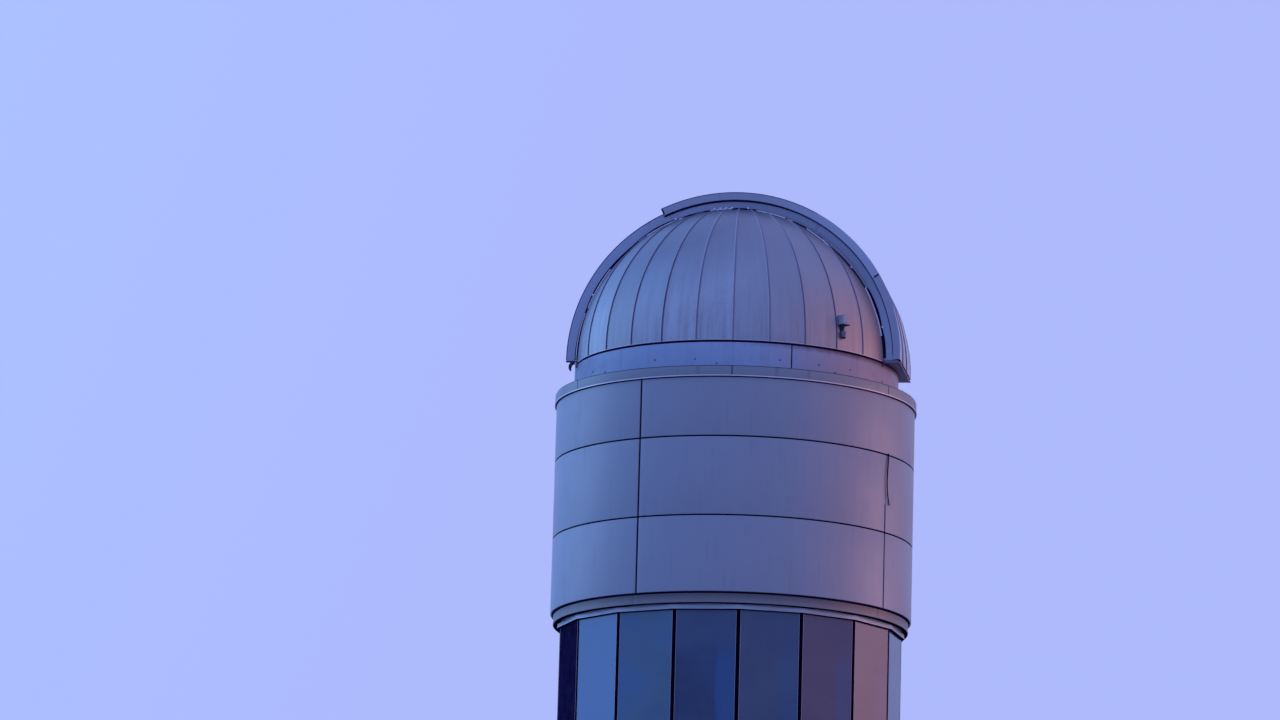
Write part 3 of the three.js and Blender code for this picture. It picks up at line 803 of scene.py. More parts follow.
def make_coping():
    """Coping in lengths with splices and lap covers, a painted highlight on the drip edge, a dark strip of
    painted shade at its top edge and a black strip of painted shadow under the drip.
    """
    low, high = COPING_Z
    face = COPING_R - 0.006
    inner = COPING_R - 0.026
    lid = high - 0.012
    soft = 0.004
    ledge = CLAD_LEVELS[-1]
    profile = [(GUTTER_R, ledge - 0.04), (GUTTER_R, lid), (face - soft, lid), (face, lid - soft),
               (face, low), (inner, low), (inner, ledge), (WALL_INNER, ledge), (WALL_INNER, ledge - 0.04)]
    joints = [-52, 6.6, 64, 112, 160, 208, 256]
    laps = [-4, 20.5, 31, 88, 136, 184, 232]
    sheets = lengths(profile, joints, degrees_at(0.014, COPING_R))
    piece("coping_lengths", sheets, "coping_paint", "tower", "coping", ["coping"], bevel=0.002)
    splice = rectangle(inner - 0.001, face - 0.003, low + 0.004, lid - soft)
    splices = patches(splice, joints, degrees_at(0.05, COPING_R))
    piece("coping_splices", splices, "black_gasket", "tower", "coping")
    cover = rectangle(face - 0.001, face + 0.0015, low + 0.020, lid - 0.006)
    covers = patches(cover, laps, degrees_at(0.030, COPING_R))
    piece("coping_lap_covers", covers, "lap_paint", "tower", "coping")
    # Drip edge in light paint: painted highlight
    hem = [(face + 0.0005, low), (COPING_R, low), (COPING_R, low + 0.013), (face + 0.0005, low + 0.017)]
    piece("coping_drip_highlight", around(hem), "lip_paint", "tower", "coping")
    # Dark strip at the outer top edge: painted shade line
    seal_and_shadow = ring(face - 0.060, face - 0.008, lid + 0.0005, high)
    piece("coping_top_shade_line", seal_and_shadow, "bolt_metal", "tower", "dark_steel")
    # Black strip under the drip: painted shadow
    seal_and_shadow = ring(CLAD_R + 0.0005, inner + 0.004, low - 0.014, low - 0.0005)
    piece("coping_underside_shadow", seal_and_shadow, "black_gasket", "tower", "mullion")


def make_fascia():
    """Belt fascia in lengths, hollow between its edges, with painted shade that darkens its top, and a black
    strip at its foot that is also painted shadow.
    """
    low, high = FASCIA_Z
    # It reaches halfway into the joint at the foot of the cladding
    high += FOOT_JOINT / 2
    soft = 0.005
    hollow = 0.009
    profile = [(FASCIA_INNER, low), (FASCIA_R - soft, low), (FASCIA_R, low + soft),
               (FASCIA_R - hollow, (low + high) / 2), (FASCIA_R, high - soft), (FASCIA_R - soft, high),
               (FASCIA_INNER, high)]
    joints = [-24.5, 62.5, 149.5, 236.5]
    sheets = lengths(profile, joints, degrees_at(0.005, FASCIA_R))
    # Painted shade: darker at the top, paler towards the foot
    piece("fascia_lengths", sheets, "trim_paint", "tower", "trim", ["belt_fascia"], bevel=0.0015,
          values={"painted_light": lambda p: (high - p.z) / (high - low)})
    # Black strip at the foot, also painted shadow
    seal_and_shadow = ring(HEAD_CORNER - 0.02, FASCIA_R - 0.013, low - 0.009, low - 0.0005)
    piece("fascia_foot_seal_and_shadow", seal_and_shadow, "joint_rubber", "tower", "mullion")


def make_head_band():
    """Head band over the glass with its drip lip in a painted highlight, and a black strip under it, a real
    gasket that is also painted shadow under the lip.
    """
    low, high = HEAD_Z
    face = HEAD_CORNER - 0.007
    cover = facetted(rectangle(FRAME_INNER, face, low + 0.007, high))
    piece("head_band_cover", cover, "head_paint", "tower", "trim", ["head_band"], bevel=0.002)
    # Painted highlight: the lip is paler than the band
    lip = facetted([(face + 0.0005, low + 0.008), (HEAD_CORNER, low + 0.008), (HEAD_CORNER, low + 0.020),
                    (face + 0.0005, low + 0.023)])
    piece("head_band_lip", lip, "head_lip_paint", "tower", "trim", bevel=0.0015)
    # Gasket strip, black also as painted shadow under the lip
    seal_and_shadow = facetted(rectangle(GLASS_CORNER - 0.02, HEAD_CORNER - 0.006, low - 0.004, low + 0.0065))
    piece("head_band_seal_and_shadow", seal_and_shadow, "joint_rubber", "tower", "mullion")


# Painted reflections of the panes that the photo shows, by number from -Y towards +X: reflected tone,
# painted pink reflection and painted light strip
PANE_REFLECTIONS = {
    0: (0.08, 0.05, 0.70), 1: (0.28, 0.40, 0.30), 2: (0.28, 0.66, 0.40), 3: (0.12, 0.45, 0.25),
    4: (0.02, 0.30, 0.20), PANES - 1: (0.56, 0.05, 0.0), PANES - 2: (0.76, 0.0, 0.0),
}
# This pane is dark glass, a painted dark reflection
SHADED_PANE = PANES - 3


def make_glazing():
    """Flat panes on a regular polygon, with black joints between thin metal edges."""
    low = GLASS_Z[0] + 0.004
    high = GLASS_Z[1] - 0.004
    half_joint = 0.032
    edge = 0.005
    thick = 0.026
    tall = (high - low) / 2
    panes = []
    shaded = []
    edges = []
    joints = []
    values = {"tone": [], "pink_reflection": [], "strip": []}
    for i in range(PANES):
        a = (i - 0.5) * PANE_PITCH
        left = polar(GLASS_CORNER, a, 0)
        right = polar(GLASS_CORNER, a + PANE_PITCH, 0)
        across = (right - left).normalized()
        out = direction(i * PANE_PITCH)
        half = (right - left).length / 2 - half_joint
        middle = (left + right) / 2 + Z * ((low + high) / 2)
        pane = slab(middle - out * (thick / 2 + 0.002), across, Z, out, (half - edge, tall, thick / 2))
        if i == SHADED_PANE:
            shaded.append(pane)
        else:
            panes.append(pane)
            for key, value in zip(values, PANE_REFLECTIONS.get(i, (0.22 + 0.18 * math.sin(1.9 * i), 0.2, 0.2))):
                values[key] += [value] * len(pane[0])
        for sign in (-1, 1):
            centre = middle + across * (half - edge / 2) * sign - out * (thick / 2)
            edges.append(slab(centre, across, Z, out, (edge / 2, tall, thick / 2)))
        corner = polar(GLASS_CORNER - 0.004, a, 0)
        toward = (corner - polar(GLASS_CORNER, a - PANE_PITCH, 0)).normalized()
        start = corner - toward * half_joint
        end = corner + across * half_joint
        inward = direction(a) * -0.022
        outline = [start, corner, end, end + inward, start + inward]
        joints.append(sweep([[p + Z * z for p in outline] for z in (low, high)]))
    uv = [(u, v) for u, v in rectangle(0, 1, low, high)] * 2 * len(panes)
    piece("glass_panes", merge(panes), "window_glass", "tower", "glass", ["glass_band"], uv=uv,
          values=values)
    piece("glass_panes_shaded", merge(shaded), "shaded_glass", "tower", "glass")
    piece("pane_edges", merge(edges), "trim_edge_paint", "tower", "trim")
    piece("pane_joints", merge(joints), "joint_rubber", "tower", "mullion")
    sill = facetted([(GLASS_CORNER + 0.001, low - 0.020), (GLASS_CORNER + 0.016, low - 0.020),
                     (GLASS_CORNER + 0.016, low - 0.006), (GLASS_CORNER + 0.001, low + 0.006)])
    piece("glazing_sill", sill, "lip_paint", "tower", "trim", bevel=0.0015)


def make_drum():
    """Drum in sheets on a dark wall, with bolt heads where the photo has them and more on the far side."""
    low, high = DRUM_Z
    soft = 0.003
    back = DRUM_R - 0.012
    profile = [(back, low), (DRUM_R, low), (DRUM_R, high - soft), (DRUM_R - soft, high), (back, high)]
    joints = [-70.4, 27.2, 101, 150, 199, 248]
    sheets = lengths(profile, joints, degrees_at(0.021, DRUM_R))
    piece("drum_sheets", sheets, "drum_paint", "tower", "drum_sheet", ["drum_wall"], bevel=0.0015)
    wall = ring(DRUM_INNER, back - 0.001, low, high - 0.001)
    piece("drum_inner_wall", wall, "black_gasket", "tower", "drum_sheet")
    seen = [(-53.0, 7.580), (-45.0, 7.524), (-21.6, 7.592), (-6.6, 7.571), (1.0, 7.500), (23.0, 7.589),
            (37.7, 7.577), (44.4, 7.500), (51.2, 7.584), (70.5, 7.546)]
    hidden = [(azimuth + turn, z) for turn in (126, 238) for azimuth, z in seen[1:8]]
    bolts = []
    for azimuth, z in seen + hidden:
        head = polar(DRUM_R - 0.002, azimuth, z)
        for proud, radius, sides in ((0.005, 0.012, 20), (0.014, 0.008, 6)):
            bolts.append(rod(head, head + direction(azimuth) * proud, radius, sides))
    piece("drum_bolts", merge(bolts), "bolt_metal", "tower", "dark_steel", bevel=0.001)


# Dome shell

# Tone of each near gore: partly its own tone, partly painted light and shade that the gore catches as one
# flat face
NEAR_TONES_AND_LIGHT = [0.38, 0.30, -0.32, 0.42, 0.72, 0.62, 0.42, 0.25, 0.45, 0.40, 0.36]


def gore_factor(azimuth, middle):
    """Share of the full radius on a gore's crowned face: nearly flat from seam to seam."""
    crown = 0.4
    half = GORE_PITCH / 2
    offset = max(-half, min(half, azimuth - middle))
    flat = math.cos(math.radians(half)) / math.cos(math.radians(offset))
    return flat + crown * (1 - flat)


def gore_shape(middle, start, end, side):
    """Closed sheet of one gore with its lengthwise and crosswise places for the streaks."""
    edge = RAIL_Y[1] + 0.0008
    columns = max(6, round((end - start) / 1.6))
    rows = 30
    points = []
    uv = []
    for layer in (0, 1):
        for azimuth in span(start, end, columns):
            radius = GORE_R * gore_factor(azimuth, middle) - layer * SHEET
            a = math.radians(azimuth)
            highest = math.degrees(math.acos(min(1.0, edge / (radius * math.cos(a)))))
            for elevation in span(SHEET_FOOT, max(highest, SHEET_FOOT + 0.5), rows):
                e = math.radians(elevation)
                flat = side * radius * math.cos(e)
                points.append(Vector((flat * math.sin(a), -flat * math.cos(a), CZ + radius * math.sin(e))))
                uv.append((a * GORE_R + middle, e * GORE_R))
    return grid_shell(points, columns, rows), uv


def make_gores():
    half = GORE_PITCH / 2
    last = math.degrees(math.acos((RAIL_Y[1] + 0.001) / (GORE_R - SHEET)))
    for side, wing in ((1, "near"), (-1, "far")):
        for k in range(SIDE_GORES):
            middle = (k - (SIDE_GORES - 1) / 2) * GORE_PITCH
            start = middle - half if k else -last
            end = middle + half if k < SIDE_GORES - 1 else last
            shape, uv = gore_shape(middle, start, end, side)
            tone = NEAR_TONES_AND_LIGHT[k] if side > 0 else 0.5 + 0.08 * math.sin(2.6 * k)
            name = f"gore_{wing}_{k + 1:02d}"
            piece(f"{name}_sheet", shape, "galvanised_sheet", "dome", "gore_sheet", [name], uv=uv,
                  values={"tone": tone})


def seam_shape(azimuth, side, end, width=0.025, height=0.011, shift=0.0):
    """Raised joint along a meridian."""
    outline = [(-0.5, 0), (-0.5, 0.45), (-0.28, 0.95), (0.28, 0.95), (0.5, 0.45), (0.5, 0)]
    across = direction(azimuth + 90) * side
    loops = []
    for elevation in span(SHEET_FOOT + 0.2, end, 30):
        e = math.radians(elevation)
        normal = direction(azimuth) * side * math.cos(e) + Z * math.sin(e)
        seat = CENTRE + normal * (GORE_R - 0.004)
        loops.append([seat + across * (width * x + shift) + normal * (height * h + 0.004 * (h > 0))
                      for x, h in outline])
    return sweep(loops)


def make_seams():
    """Raised joints between the gores, each with a thin lap at its west side in a painted highlight."""
    for side, wing in ((1, "near"), (-1, "far")):
        seams = []
        laps = []
        for k in range(SIDE_GORES - 1):
            azimuth = (k - (SIDE_GORES - 2) / 2) * GORE_PITCH
            flat = GORE_R * math.cos(math.radians(azimuth))
            highest = math.degrees(math.acos((RAIL_Y[1] + 0.001) / flat))
            seams.append(seam_shape(azimuth, side, highest))
            # Thin light strip beside each joint: painted highlight
            laps.append(seam_shape(azimuth, side, highest - 2, 0.009, 0.003, -0.0172))
        piece(f"gore_seams_{wing}", merge(seams), "seam_metal", "dome", "gore_sheet")
        piece(f"gore_lap_highlights_{wing}", merge(laps), "bright_flange", "dome", "gore_sheet", values={"tone": 0.3})


def make_foot_band():
    """Hem at the foot of the gores in a painted highlight, and the black brush strip behind it, a real brush
    that is also painted shadow under the gores.
    """
    z = CZ + GORE_R * math.sin(math.radians(SHEET_FOOT))
    edge = math.degrees(math.acos(RAIL_Y[1] / GORE_R))
    hem = [(GORE_R - 0.011, z - 0.004), (GORE_R + 0.003, z - 0.004), (GORE_R + 0.005, z + 0.002),
           (GORE_R + 0.003, z + 0.008), (GORE_R - 0.004, z + 0.009), (GORE_R - 0.011, z + 0.008)]
    rear_gap = 1.2
    stretches = [(-edge, edge), (180 - edge, 180 + edge), (180 + rear_gap + edge, 360 - rear_gap - edge)]
    brush_r = (2.516, 2.527)
    brush_z = (7.846, 7.888)
    shape = merge([around(hem, a, b, 1.5) for a, b in stretches])
    # Light hem: painted highlight
    piece("dome_foot_hem_highlight", shape, "bright_flange", "dome", "gore_sheet", values={"tone": 0.5})
    # Black brush ring, also painted shadow under the gores' foot
    piece("dome_foot_seal_and_shadow", ring(*brush_r, *brush_z), "black_gasket", "dome", "dark_steel")


def make_rear_shell():
    """Fixed shell behind the slit, with raised joints along it."""
    half = RAIL_Y[0] - 0.0005
    columns = 24
    rows = 50
    points = []
    uv = []
    for layer in (0, 1):
        for y in span(half, -half, columns):
            radius = math.sqrt((GORE_R - layer * SHEET) ** 2 - y ** 2)
            for angle in span(180 - SHEET_FOOT, HEADER_END, rows):
                points.append(slit_point(radius, angle, y))
                uv.append((y, math.radians(angle) * GORE_R))
    piece("rear_shell_sheet", grid_shell(points, columns, rows), "galvanised_sheet", "dome", "gore_sheet",
          ["rear_shell"], uv=uv, values={"tone": 0.45})
    spacing = 0.36
    outline = [(-0.004, -0.010), (0.006, -0.010), (0.010, -0.005), (0.010, 0.005), (0.006, 0.010),
               (-0.004, 0.010)]
    bars = []
    for y in (-spacing, 0.0, spacing):
        radius = math.sqrt(GORE_R ** 2 - y ** 2)
        profile = [(radius + r, y + d) for r, d in outline]
        bars.append(arched(profile, HEADER_END + 0.5, 181.2))
    piece("rear_shell_seams", merge(bars), "seam_metal", "dome", "gore_sheet")


# Rails and the flashing beside them. The stations give a value at slit angles.

# Painted light on the rails and their flashing, by slit angle: paler at the front and the rear
RAIL_LIGHT = [(-2, 0.75), (15, 0.55), (30, 0.12), (60, 0.10), (85, 0.0), (128, 0.72), (182, 0.66)]
FLASHING_Y = [(-1, 0.800), (10, 0.832), (20, 0.862), (27, 0.862), (38, 0.920), (49, 0.985), (59.9, 0.940),
              (60, 0.885), (72, 0.885), (84, 0.850), (96, 0.806), (103, 0.806), (109, 0.860), (128, 0.850),
              (143, 0.802), (160, 0.802), (181, 0.800)]
# Height of the black strip of painted shadow over the gores' ends, by slit angle
GAP_HEIGHT = [(-1, 0.030), (8, 0.028), (12, 0.012), (18, 0.024), (27, 0.014), (28, 0.001), (80, 0.001),
              (81, 0.012), (89, 0.014), (91, 0.003), (98, 0.003), (100, 0.014), (110, 0.014), (114, 0.024),
              (120, 0.034), (126, 0.024), (131, 0.012), (138, 0.020), (144, 0.030), (154, 0.034),
              (161, 0.024), (170, 0.034), (181, 0.046)]
# Stretches of flashing: slit angles, share of the width in the rail's paint, width of the painted highlight
# on the edge
FLASHING = [(0.3, 8.5, 0.0, 0), (8.5, 27.8, 0.0, 0.020), (27.8, 49, 0.80, 0), (49, 60.6, 0.62, 0.010),
            (60.6, 69.5, 0.70, 0), (69.5, 80.5, 0.75, 0.008), (90.5, 98.5, 0.5, 0.008),
            (109.5, 128, 0.0, 0.009), (143, 160, 0.0, 0.012), (160, 179.4, 0.0, 0)]
CLIP_ANGLES = [12, 37.2, 51.8, 67, 80.8, 84.6, 90.6, 92.8, 95.0, 97.2, 112, 154.5]
FLASHING_SIDE = RAIL_Y[1] + 0.0005
AT_RAIL = math.sqrt(GORE_R ** 2 - FLASHING_SIDE ** 2)


def make_rails():
    """Arched side rails in lengths, with a rolled outer edge in a dark painted shade line and thin joints;
    painted light makes their rear and front paler.
    """
    inner, outer = RAIL_R
    y0, y1 = RAIL_Y
    lip = 0.002
    profile = [(inner, -y1), (outer - 0.012, -y1), (outer - 0.010, -y1 - lip), (outer, -y1 - lip),
               (outer, -y0), (inner, -y0)]
    cuts = [0, 57.5, UPPER_REAR - 2, 180]
    half_gap = degrees_at(0.003, outer) / 2
    plates = [arched(profile, a + (half_gap if a else 0), b - (half_gap if b < 180 else 0))
              for a, b in zip(cuts, cuts[1:])]
    for sign in (1, -1):
        plates.append(sweep([[Vector((sign * r, y, z)) for r, y in profile] for z in (RING_TOP, CZ)]))
    bead = rectangle(outer - 0.014, outer - 0.0005, -y1 - 0.0025, -y1 - 0.0005)
    core = rectangle(inner + 0.02, outer - 0.02, -y1 + 0.006, -y0 - 0.006)
    foot_plate = box(-2.558, -(y0 + y1) / 2, RING_TOP - 0.007, 0.040, 0.032, 0.0065)
    # Dark line along the rear outer edge: painted shade
    pair("arch_rail_{}_bead", arched(bead, UPPER_REAR - 1.5, 179.9), "bead_paint", "rail_sheet")
    pair("arch_rail_{}_plates", merge(plates), "rail_paint", "rail_sheet", "arch_rail_{}", bevel=0.0015,
         values=painted_lighting(RAIL_LIGHT))
    pair("arch_rail_{}_core", arched(core, 0.5, 179.5), "dark_steel", "rail_sheet")
    pair("arch_rail_{}_foot", foot_plate, "dark_steel", "dark_steel", bevel=0.0015)


def flashing_strip(start, end, *corners):
    """Strip along the flashing. A corner is a radius, a share of the flashing's width and an extra."""
    def section(angle):
        width = stationed(FLASHING_Y, angle) - FLASHING_SIDE
        places = [(r, FLASHING_SIDE + width * share + extra) for r, share, extra in corners]
        return [(math.sqrt(r ** 2 - y ** 2), -y) for r, y in places]
    return arched(section, start, end, 1.2)


def clip(angle):
    """Small square plate, on the flashing's edge where that is wide, otherwise on the rail's side."""
    if 28 < angle < 84:
        seat = GORE_R + 0.009
        y = stationed(FLASHING_Y, angle) + 0.002
        place = slit_point(math.sqrt(seat ** 2 - y ** 2), angle, -y)
        out = place - CENTRE
        half = 0.018
    else:
        place = slit_point(AT_RAIL + 0.018, angle, -FLASHING_SIDE - 0.005)
        out = -Y
        half = 0.012
    along = slit_point(1, angle + 90, 0) - CENTRE
    return slab(place, along, out.cross(along), out, (half, half, 0.003))


def make_rail_flashing():
    """Foot of the side rails: a black strip as the painted shadow of the gap over the gores' ends, flashing
    with a black painted shadow in its recess and a painted highlight on its edge, clips.
    """
    seat = GORE_R + 0.001
    side = FLASHING_SIDE

    def gap(angle):
        return rectangle(AT_RAIL - 0.03, AT_RAIL + stationed(GAP_HEIGHT, angle), -side, -side - 0.002)

    def bead(angle):
        low = AT_RAIL + 0.3 * stationed(GAP_HEIGHT, angle)
        return rectangle(low, low + 0.013, -side - 0.0025, -side - 0.006)

    plates = []
    recesses = []
    edges = []
    for start, end, painted, bright in FLASHING:
        if painted:
            plates.append(flashing_strip(start, end, (seat, 0, 0.003), (seat + 0.014, 0, 0.003),
                                         (seat + 0.005, painted, 0), (seat, painted, 0)))
        recesses.append(flashing_strip(start, end, (seat, painted, 0.0005), (seat + 0.003, painted, 0.0005),
                                       (seat + 0.003, 1, 0), (seat, 1, 0)))
        if bright:
            edges.append(flashing_strip(start, end, (seat - 0.003, 1, 0.0005), (seat + 0.011, 1, 0.0005),
                                        (seat + 0.011, 1, bright), (seat - 0.003, 1, bright)))
    # Painted highlight near the rear foot
    edges.append(arched(bead, 162, 179.6, 1.1))
    clips = merge([clip(angle) for angle in CLIP_ANGLES])
    pair("rail_gap_shadow_{}", arched(gap, 0.2, 179.8, 1), "black_gasket", "dark_steel")
    pair("rail_flashing_{}", merge(plates), "rail_paint", "rail_sheet", values=painted_lighting(RAIL_LIGHT))
    pair("rail_recess_shadow_{}", merge(recesses), "black_gasket", "dark_steel")
    pair("flashing_edge_highlight_{}", merge(edges), "lip_paint", "gore_sheet", bevel=0.001)
    pair("rail_clips_{}", clips, "clip_metal", "gore_sheet", bevel=0.0015)


# Shutters

SEAL_DEPTH = [(0, 0.012), (30, 0.014), (60, 0.018), (85, 0.029), (120, 0.029)]
# Painted light of the seals and the upper shutter's sheets, by slit angle
SEAL_LIGHT = [(-1, 1.0), (45, 0.90), (60, 0.55), (78, 0.05), (120, 0.0)]
SHUTTER_LIGHT = [(0, 0.45), (30, 0.65), (50, 0.60), (80, 0.0), (120, 0.0)]
LEAF_OUTLINE = [(2.669, 7.920), (2.669, 8.100), (2.651, 8.300), (2.609, 8.520), (2.5378, 8.7998)]
LEAF_CURVE_FROM = 19


def shutter_profile():
    """Section of a shutter as (radius, y): ribbed skin, edge flanges, skirts with a rolled lower edge."""
    bead = 0.004
    skin = SHUTTER_R - 0.010
    under = SHUTTER_R - 0.024
    inner, outer = SKIRT_Y
    near = [(SKIRT_R, -outer - bead), (SKIRT_R + 0.014, -outer - bead), (SKIRT_R + 0.018, -outer),
            (SHUTTER_R, -outer), (SHUTTER_R, -outer + 0.020), (skin, -outer + 0.026)]
    ribs = []
    for y in (-0.265, 0.265):
        ribs += [(skin, y - 0.012), (SHUTTER_R, y - 0.008), (SHUTTER_R, y + 0.008), (skin, y + 0.012)]
    far = [(r, -y) for r, y in reversed(near)]
    return near + ribs + far + [(SKIRT_R, inner), (under, inner), (under, -inner), (SKIRT_R, -inner)]


def seal_and_shadow_strips(start, end):
    """Rubber strips under the edges of both skirts, deeper over the crown, black as the painted shadow under
    the skirts.
    """
    strips = []
    for y0, y1 in ((-0.783, -0.793), (0.783, 0.793)):
        def section(angle):
            return rectangle(SKIRT_R - stationed(SEAL_DEPTH, angle), SKIRT_R - 0.0005, y0, y1)
        strips.append(arched(section, start, end, 1.25))
    return merge(strips)


def skirt_strips(inner, outer, proud, start, end):
    """Thin strips on the outer faces of both skirts."""
    face = SKIRT_Y[1] - 0.0005
    return [arched(rectangle(inner, outer, sign * face, sign * (SKIRT_Y[1] + proud)), start, end)
            for sign in (-1, 1)]


def make_upper_shutter():
    """Sheets with painted light, cover strips, seals black as painted shadow, dark lines of painted shade
    along the skirts, and a plate and dark strips of painted shade at its ends.
    """
    body = "upper_shutter"
    slot = "shutter_sheet"
    start = BREAK + 0.1
    rear = UPPER_REAR
    skin = SHUTTER_R - 0.011
    edge = SHUTTER_R - 0.001
    piece("upper_shutter_sheets", arched(shutter_profile(), start, rear, 1.25), "shutter_paint", body, slot,
          ["upper_shutter", "upper_skirt_near", "upper_skirt_far"], bevel=0.0012, values=painted_lighting(SHUTTER_LIGHT))
    half = degrees_at(0.012, SHUTTER_R)
    side = 0.766
    strip = rectangle(skin, skin + 0.006, -side, side)
    strips = merge([arched(strip, angle - half, angle + half) for angle in (47, 64, 81, 98)])
    piece("upper_shutter_cover_strips", strips, "shutter_paint", body, slot)
    piece("upper_shutter_seals_and_shadow", seal_and_shadow_strips(start, rear), "seal_rubber", body, "dark_steel",
          values=painted_lighting(SEAL_LIGHT))
    # Dark lines along the skirts' tops: painted shade
    beads = skirt_strips(skin, SHUTTER_R - 0.0005, 0.0015, 60, rear)
    piece("upper_shutter_shade_lines", merge(beads), "bead_paint", body, slot)
    plate_foot = 2.606
    plate = arched(rectangle(plate_foot, SHUTTER_R, -SKIRT_Y[1], SKIRT_Y[1]), rear - 0.16, rear)
    piece("upper_shutter_end_plate", plate, "shutter_paint", body, slot, bevel=0.0015)
    # Dark strips at both ends: painted shade of the hollow ends
    end_shades = skirt_strips(SKIRT_R, edge, 0.0025, rear - 0.6, rear)
    end_shades += skirt_strips(SKIRT_R + 0.03, edge, 0.0015, start, start + 0.42)
    piece("upper_shutter_end_shade", merge(end_shades), "dark_steel", body, "dark_steel")


def make_wheels():
    """Wheels on short axles in the upper skirts; they run on the rails."""
    middle = sum(RAIL_Y) / 2
    half_width = 0.012
    radius = 0.028
    axle = 0.008
    height = RAIL_R[1] + 0.0003 + radius
    parts = []
    for angle in (40, 75, 110):
        for sign in (-1, 1):
            inner, outer, skirt = (slit_point(height, angle, sign * y)
                                   for y in (middle - half_width, middle + half_width, SKIRT_Y[0]))
            parts += [rod(inner, outer, radius, 32), rod(outer, skirt, axle, 12)]
    piece("upper_shutter_wheels", merge(parts), "dark_steel", "upper_shutter", "dark_steel", bevel=0.002)


def leaf_radius(angle):
    """Radius of the leaf's outer face: short straight lengths, then the shutter's own curve."""
    ray = Vector((math.cos(math.radians(angle)), math.sin(math.radians(angle))))
    for (x0, z0), (x1, z1) in zip(LEAF_OUTLINE, LEAF_OUTLINE[1:]):
        a = Vector((x0, z0 - CZ))
        b = Vector((x1, z1 - CZ))
        if angle < LEAF_CURVE_FROM and angle <= math.degrees(math.atan2(b.y, b.x)):
            side = b - a
            return (a.x * side.y - a.y * side.x) / (ray.x * side.y - ray.y * side.x)
    return SHUTTER_R


def leaf_section(profile):
    """The shutter's section with its outer part moved to the leaf's own outline."""
    def section(angle):
        shift = leaf_radius(angle) - SHUTTER_R
        return [(r + (shift if r > SKIRT_R + 0.02 else 0), y) for r, y in profile]
    return section


def make_lower_shutter():
    """Leaf with painted light on its face, stripes of painted shade and painted highlight, seals, a black
    strip of painted shadow at its edge, and its half of the hinges.
    """
    end = BREAK - 0.1
    start = math.degrees(math.atan2(LEAF_OUTLINE[0][1] - CZ, LEAF_OUTLINE[0][0]))
    shape = arched(leaf_section(shutter_profile()), start, end, 0.834)
    # Painted light: the face is paler than the skirts
    piece("lower_shutter_sheets", shape, "shutter_paint", "lower_shutter", "shutter_sheet",
          ["lower_shutter"], bevel=0.0012, values={"painted_light": lambda p: 0.40 if abs(p.y) < 0.78 else 0.05})
    skin = SHUTTER_R - 0.0105
    # Stripes: the dark joints are painted shade on the ribs, the light beads are painted highlights
    stripes = [
        ("joints", (-0.34, 0.20), 0.030, "black_gasket"),
        ("beads", (-0.70, 0.44, 0.69), 0.045, "lip_paint"),
    ]
    for name, middles, half, finish in stripes:
        strips = []
        for y in middles:
            section = leaf_section(rectangle(skin, skin + 0.003, y - half, y + half))
            strips.append(arched(section, start + 0.2, BREAK - 0.5, 1.225))
        piece(f"lower_shutter_{name}", merge(strips), finish, "lower_shutter", "shutter_sheet")
    # Seals, black and lighter blue as painted shadow under the skirts
    piece("lower_shutter_seals_and_shadow", seal_and_shadow_strips(1.5, end), "seal_rubber", "lower_shutter", "dark_steel",
          values={"painted_light": 1.0})
    # Black strip along the lower edge: painted shadow
    edging = box(2.654, 0, 7.9175, 0.015, 0.790, 0.0018)
    piece("lower_shutter_edge_shadow", edging, "black_gasket", "lower_shutter", "dark_steel")
    x, _, z = frame["joints"][2]["pos_m"]
    barrel = 0.014
    parts = []
    for y0, y1 in ((-0.555, -0.475), (0.045, 0.125), (0.475, 0.555)):
        parts.append(rod(Vector((x, y0, z)), Vector((x, y1, z)), barrel, 24))
        parts.append(box(x, (y0 + y1) / 2, z + barrel, 0.008, (y1 - y0) / 2, 0.013))
    piece("lower_shutter_knuckles", merge(parts), "dark_steel", "lower_shutter", "dark_steel", bevel=0.001)


# Fittings and the floor

def make_sensor():
    """Weather sensor: box with a dark vent face and a stub, flared plate, neck and cup on a bracket."""
    azimuth = 47.5
    back = 2.480
    out = direction(azimuth)
    side = -out.cross(Z)

    def upright(depth, low, high, radius, sides, end_radius=None):
        place = out * (back + depth)
        return rod(place + Z * low, place + Z * high, radius, sides, end_radius)

    low = 8.266
    high = 8.418
    cup_foot = 8.052
    rim = 8.150
    shell = radial_slab(azimuth, back + 0.010, back + 0.150, 0.122, low, high)
    piece("sensor_box", shell, "sensor_shell", "dome", "sensor_shell", ["weather_sensor"], bevel=0.010)
    # The dark plate under the box is painted shade
    dark = [radial_slab(azimuth, back + 0.002, back + 0.160, 0.138, low - 0.012, low)]
    for depth, half in ((0.030, 0.016), (0.068, 0.005), (0.098, 0.009), (0.130, 0.004)):
        vent = out * (back + depth) + Z * ((low + high) / 2) + side * 0.0615
        dark.append(slab(vent, out, Z, side, (half, 0.066, 0.002)))
    dark.append(upright(0.055, 8.160, 8.255, 0.023, 20, 0.040))
    dark.append(upright(0.088, cup_foot, cup_foot + 0.018, 0.034, 24, 0.037))
    piece("sensor_dark_parts", merge(dark), "dark_steel", "dome", "dark_steel", bevel=0.0015)
    stub = out * (back + 0.080) + side * 0.040
    cup = [upright(0.088, cup_foot, rim, 0.030, 24, 0.044),
           upright(0.088, rim, rim + 0.022, 0.044, 24, 0.026),
           rod(stub + Z * 8.395, stub + Z * 8.4245, 0.016, 16)]
    piece("sensor_cup", merge(cup), "sensor_cup_shell", "dome", "sensor_shell", bevel=0.002)


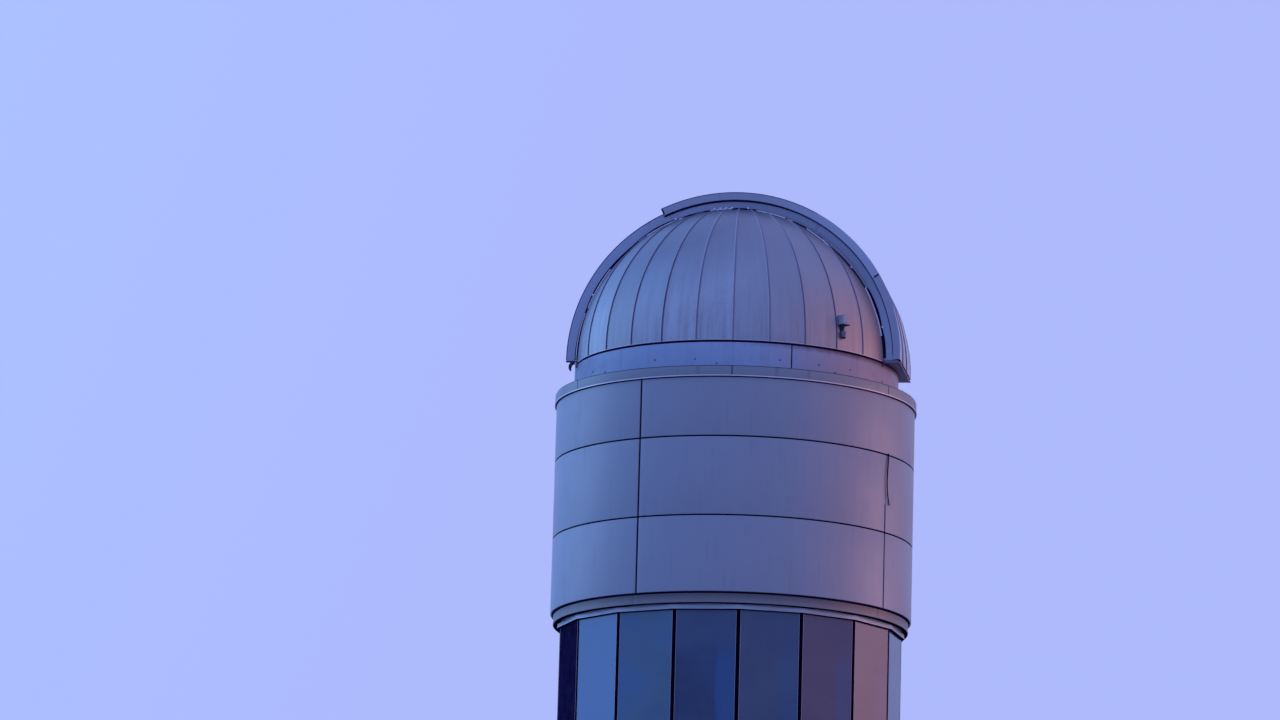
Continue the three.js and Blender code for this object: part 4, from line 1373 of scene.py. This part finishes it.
def make_sill_cover():
    """Soffit strip under the hinge line, and guide fingers that hang over the drum's top edge."""
    front = reach("slit_sill")
    back = 2.6305
    half = 0.0095
    strip = box((back + front) / 2, 0, levels("slit_sill")[0] + half, (front - back) / 2, 0.790, half)
    piece("slit_sill_cover", strip, "soffit_paint", "dome", "rail_sheet", bevel=0.0015)
    inner = 2.550
    width = 0.034
    tip = 7.792
    root = 7.884
    fingers = merge([radial_slab(a, inner, inner + 0.012, width, tip, root) for a in (-71, 71, 109, 251)])
    piece("guide_fingers", fingers, "dark_steel", "dome", "dark_steel", bevel=0.002)


def make_hook():
    """Curved hook with a flat pad under the rear foot of the near rail."""
    x = -2.464
    seat = RING_TOP - 0.0003
    radius = 0.092
    y0 = -RAIL_Y[1] + 0.005
    middle = y0 + 0.020
    loops = []
    for angle in span(90, 225, 24):
        a = math.radians(angle)
        tip = radius - 0.046 * (1.0 - 0.45 * max(0, (angle - 180) / 45))
        loops.append([Vector((x + r * math.cos(a), y, seat - 0.001 - radius + r * math.sin(a)))
                      for r, y in ((radius, y0), (radius, y0 + 0.044), (tip, y0 + 0.044), (tip, y0))])
    parts = [sweep(loops), box(x - 0.010, middle, seat - 0.005, 0.040, 0.020, 0.005)]
    for place in (x - 0.028, x + 0.028):
        top, foot = (Vector((place, middle, seat - drop)) for drop in (0.010, 0.018))
        parts.append(rod(top, foot, 0.007, 6))
    piece("rear_hook_bracket", merge(parts), "dark_steel", "dome", "dark_steel", ["rear_hook"], bevel=0.0015)


def dress_frame():
    """Finishes of the nodes that stay as they are."""
    finishes = {
        "ground_floor": "concrete", "upper_floor": "concrete", "roof_deck": "roofing_membrane",
        "mullion_frame": "mullion_paint", "track_ring": "dark_steel", "dome_ring": "dark_steel",
        "slit_header": "rail_paint", "slit_sill": "soffit_paint",
    }
    for node, finish in finishes.items():
        made = frame["nodes"][node]
        made.data.materials.clear()
        made.data.materials.append(LOOK[finish])


def make_floor():
    radius = 14.2
    mesh_object("studio_floor", ring(0.02, radius, -0.05, -0.004), "studio_floor")


make_camera()
make_world()
make_lights()
dress_frame()
make_plinth()
make_cladding()
make_loose_gasket()
make_coping()
make_fascia()
make_head_band()
make_glazing()
make_drum()
make_gores()
make_seams()
make_foot_band()
make_rear_shell()
make_rails()
make_rail_flashing()
make_upper_shutter()
make_wheels()
make_lower_shutter()
make_sensor()
make_sill_cover()
make_hook()
make_floor()
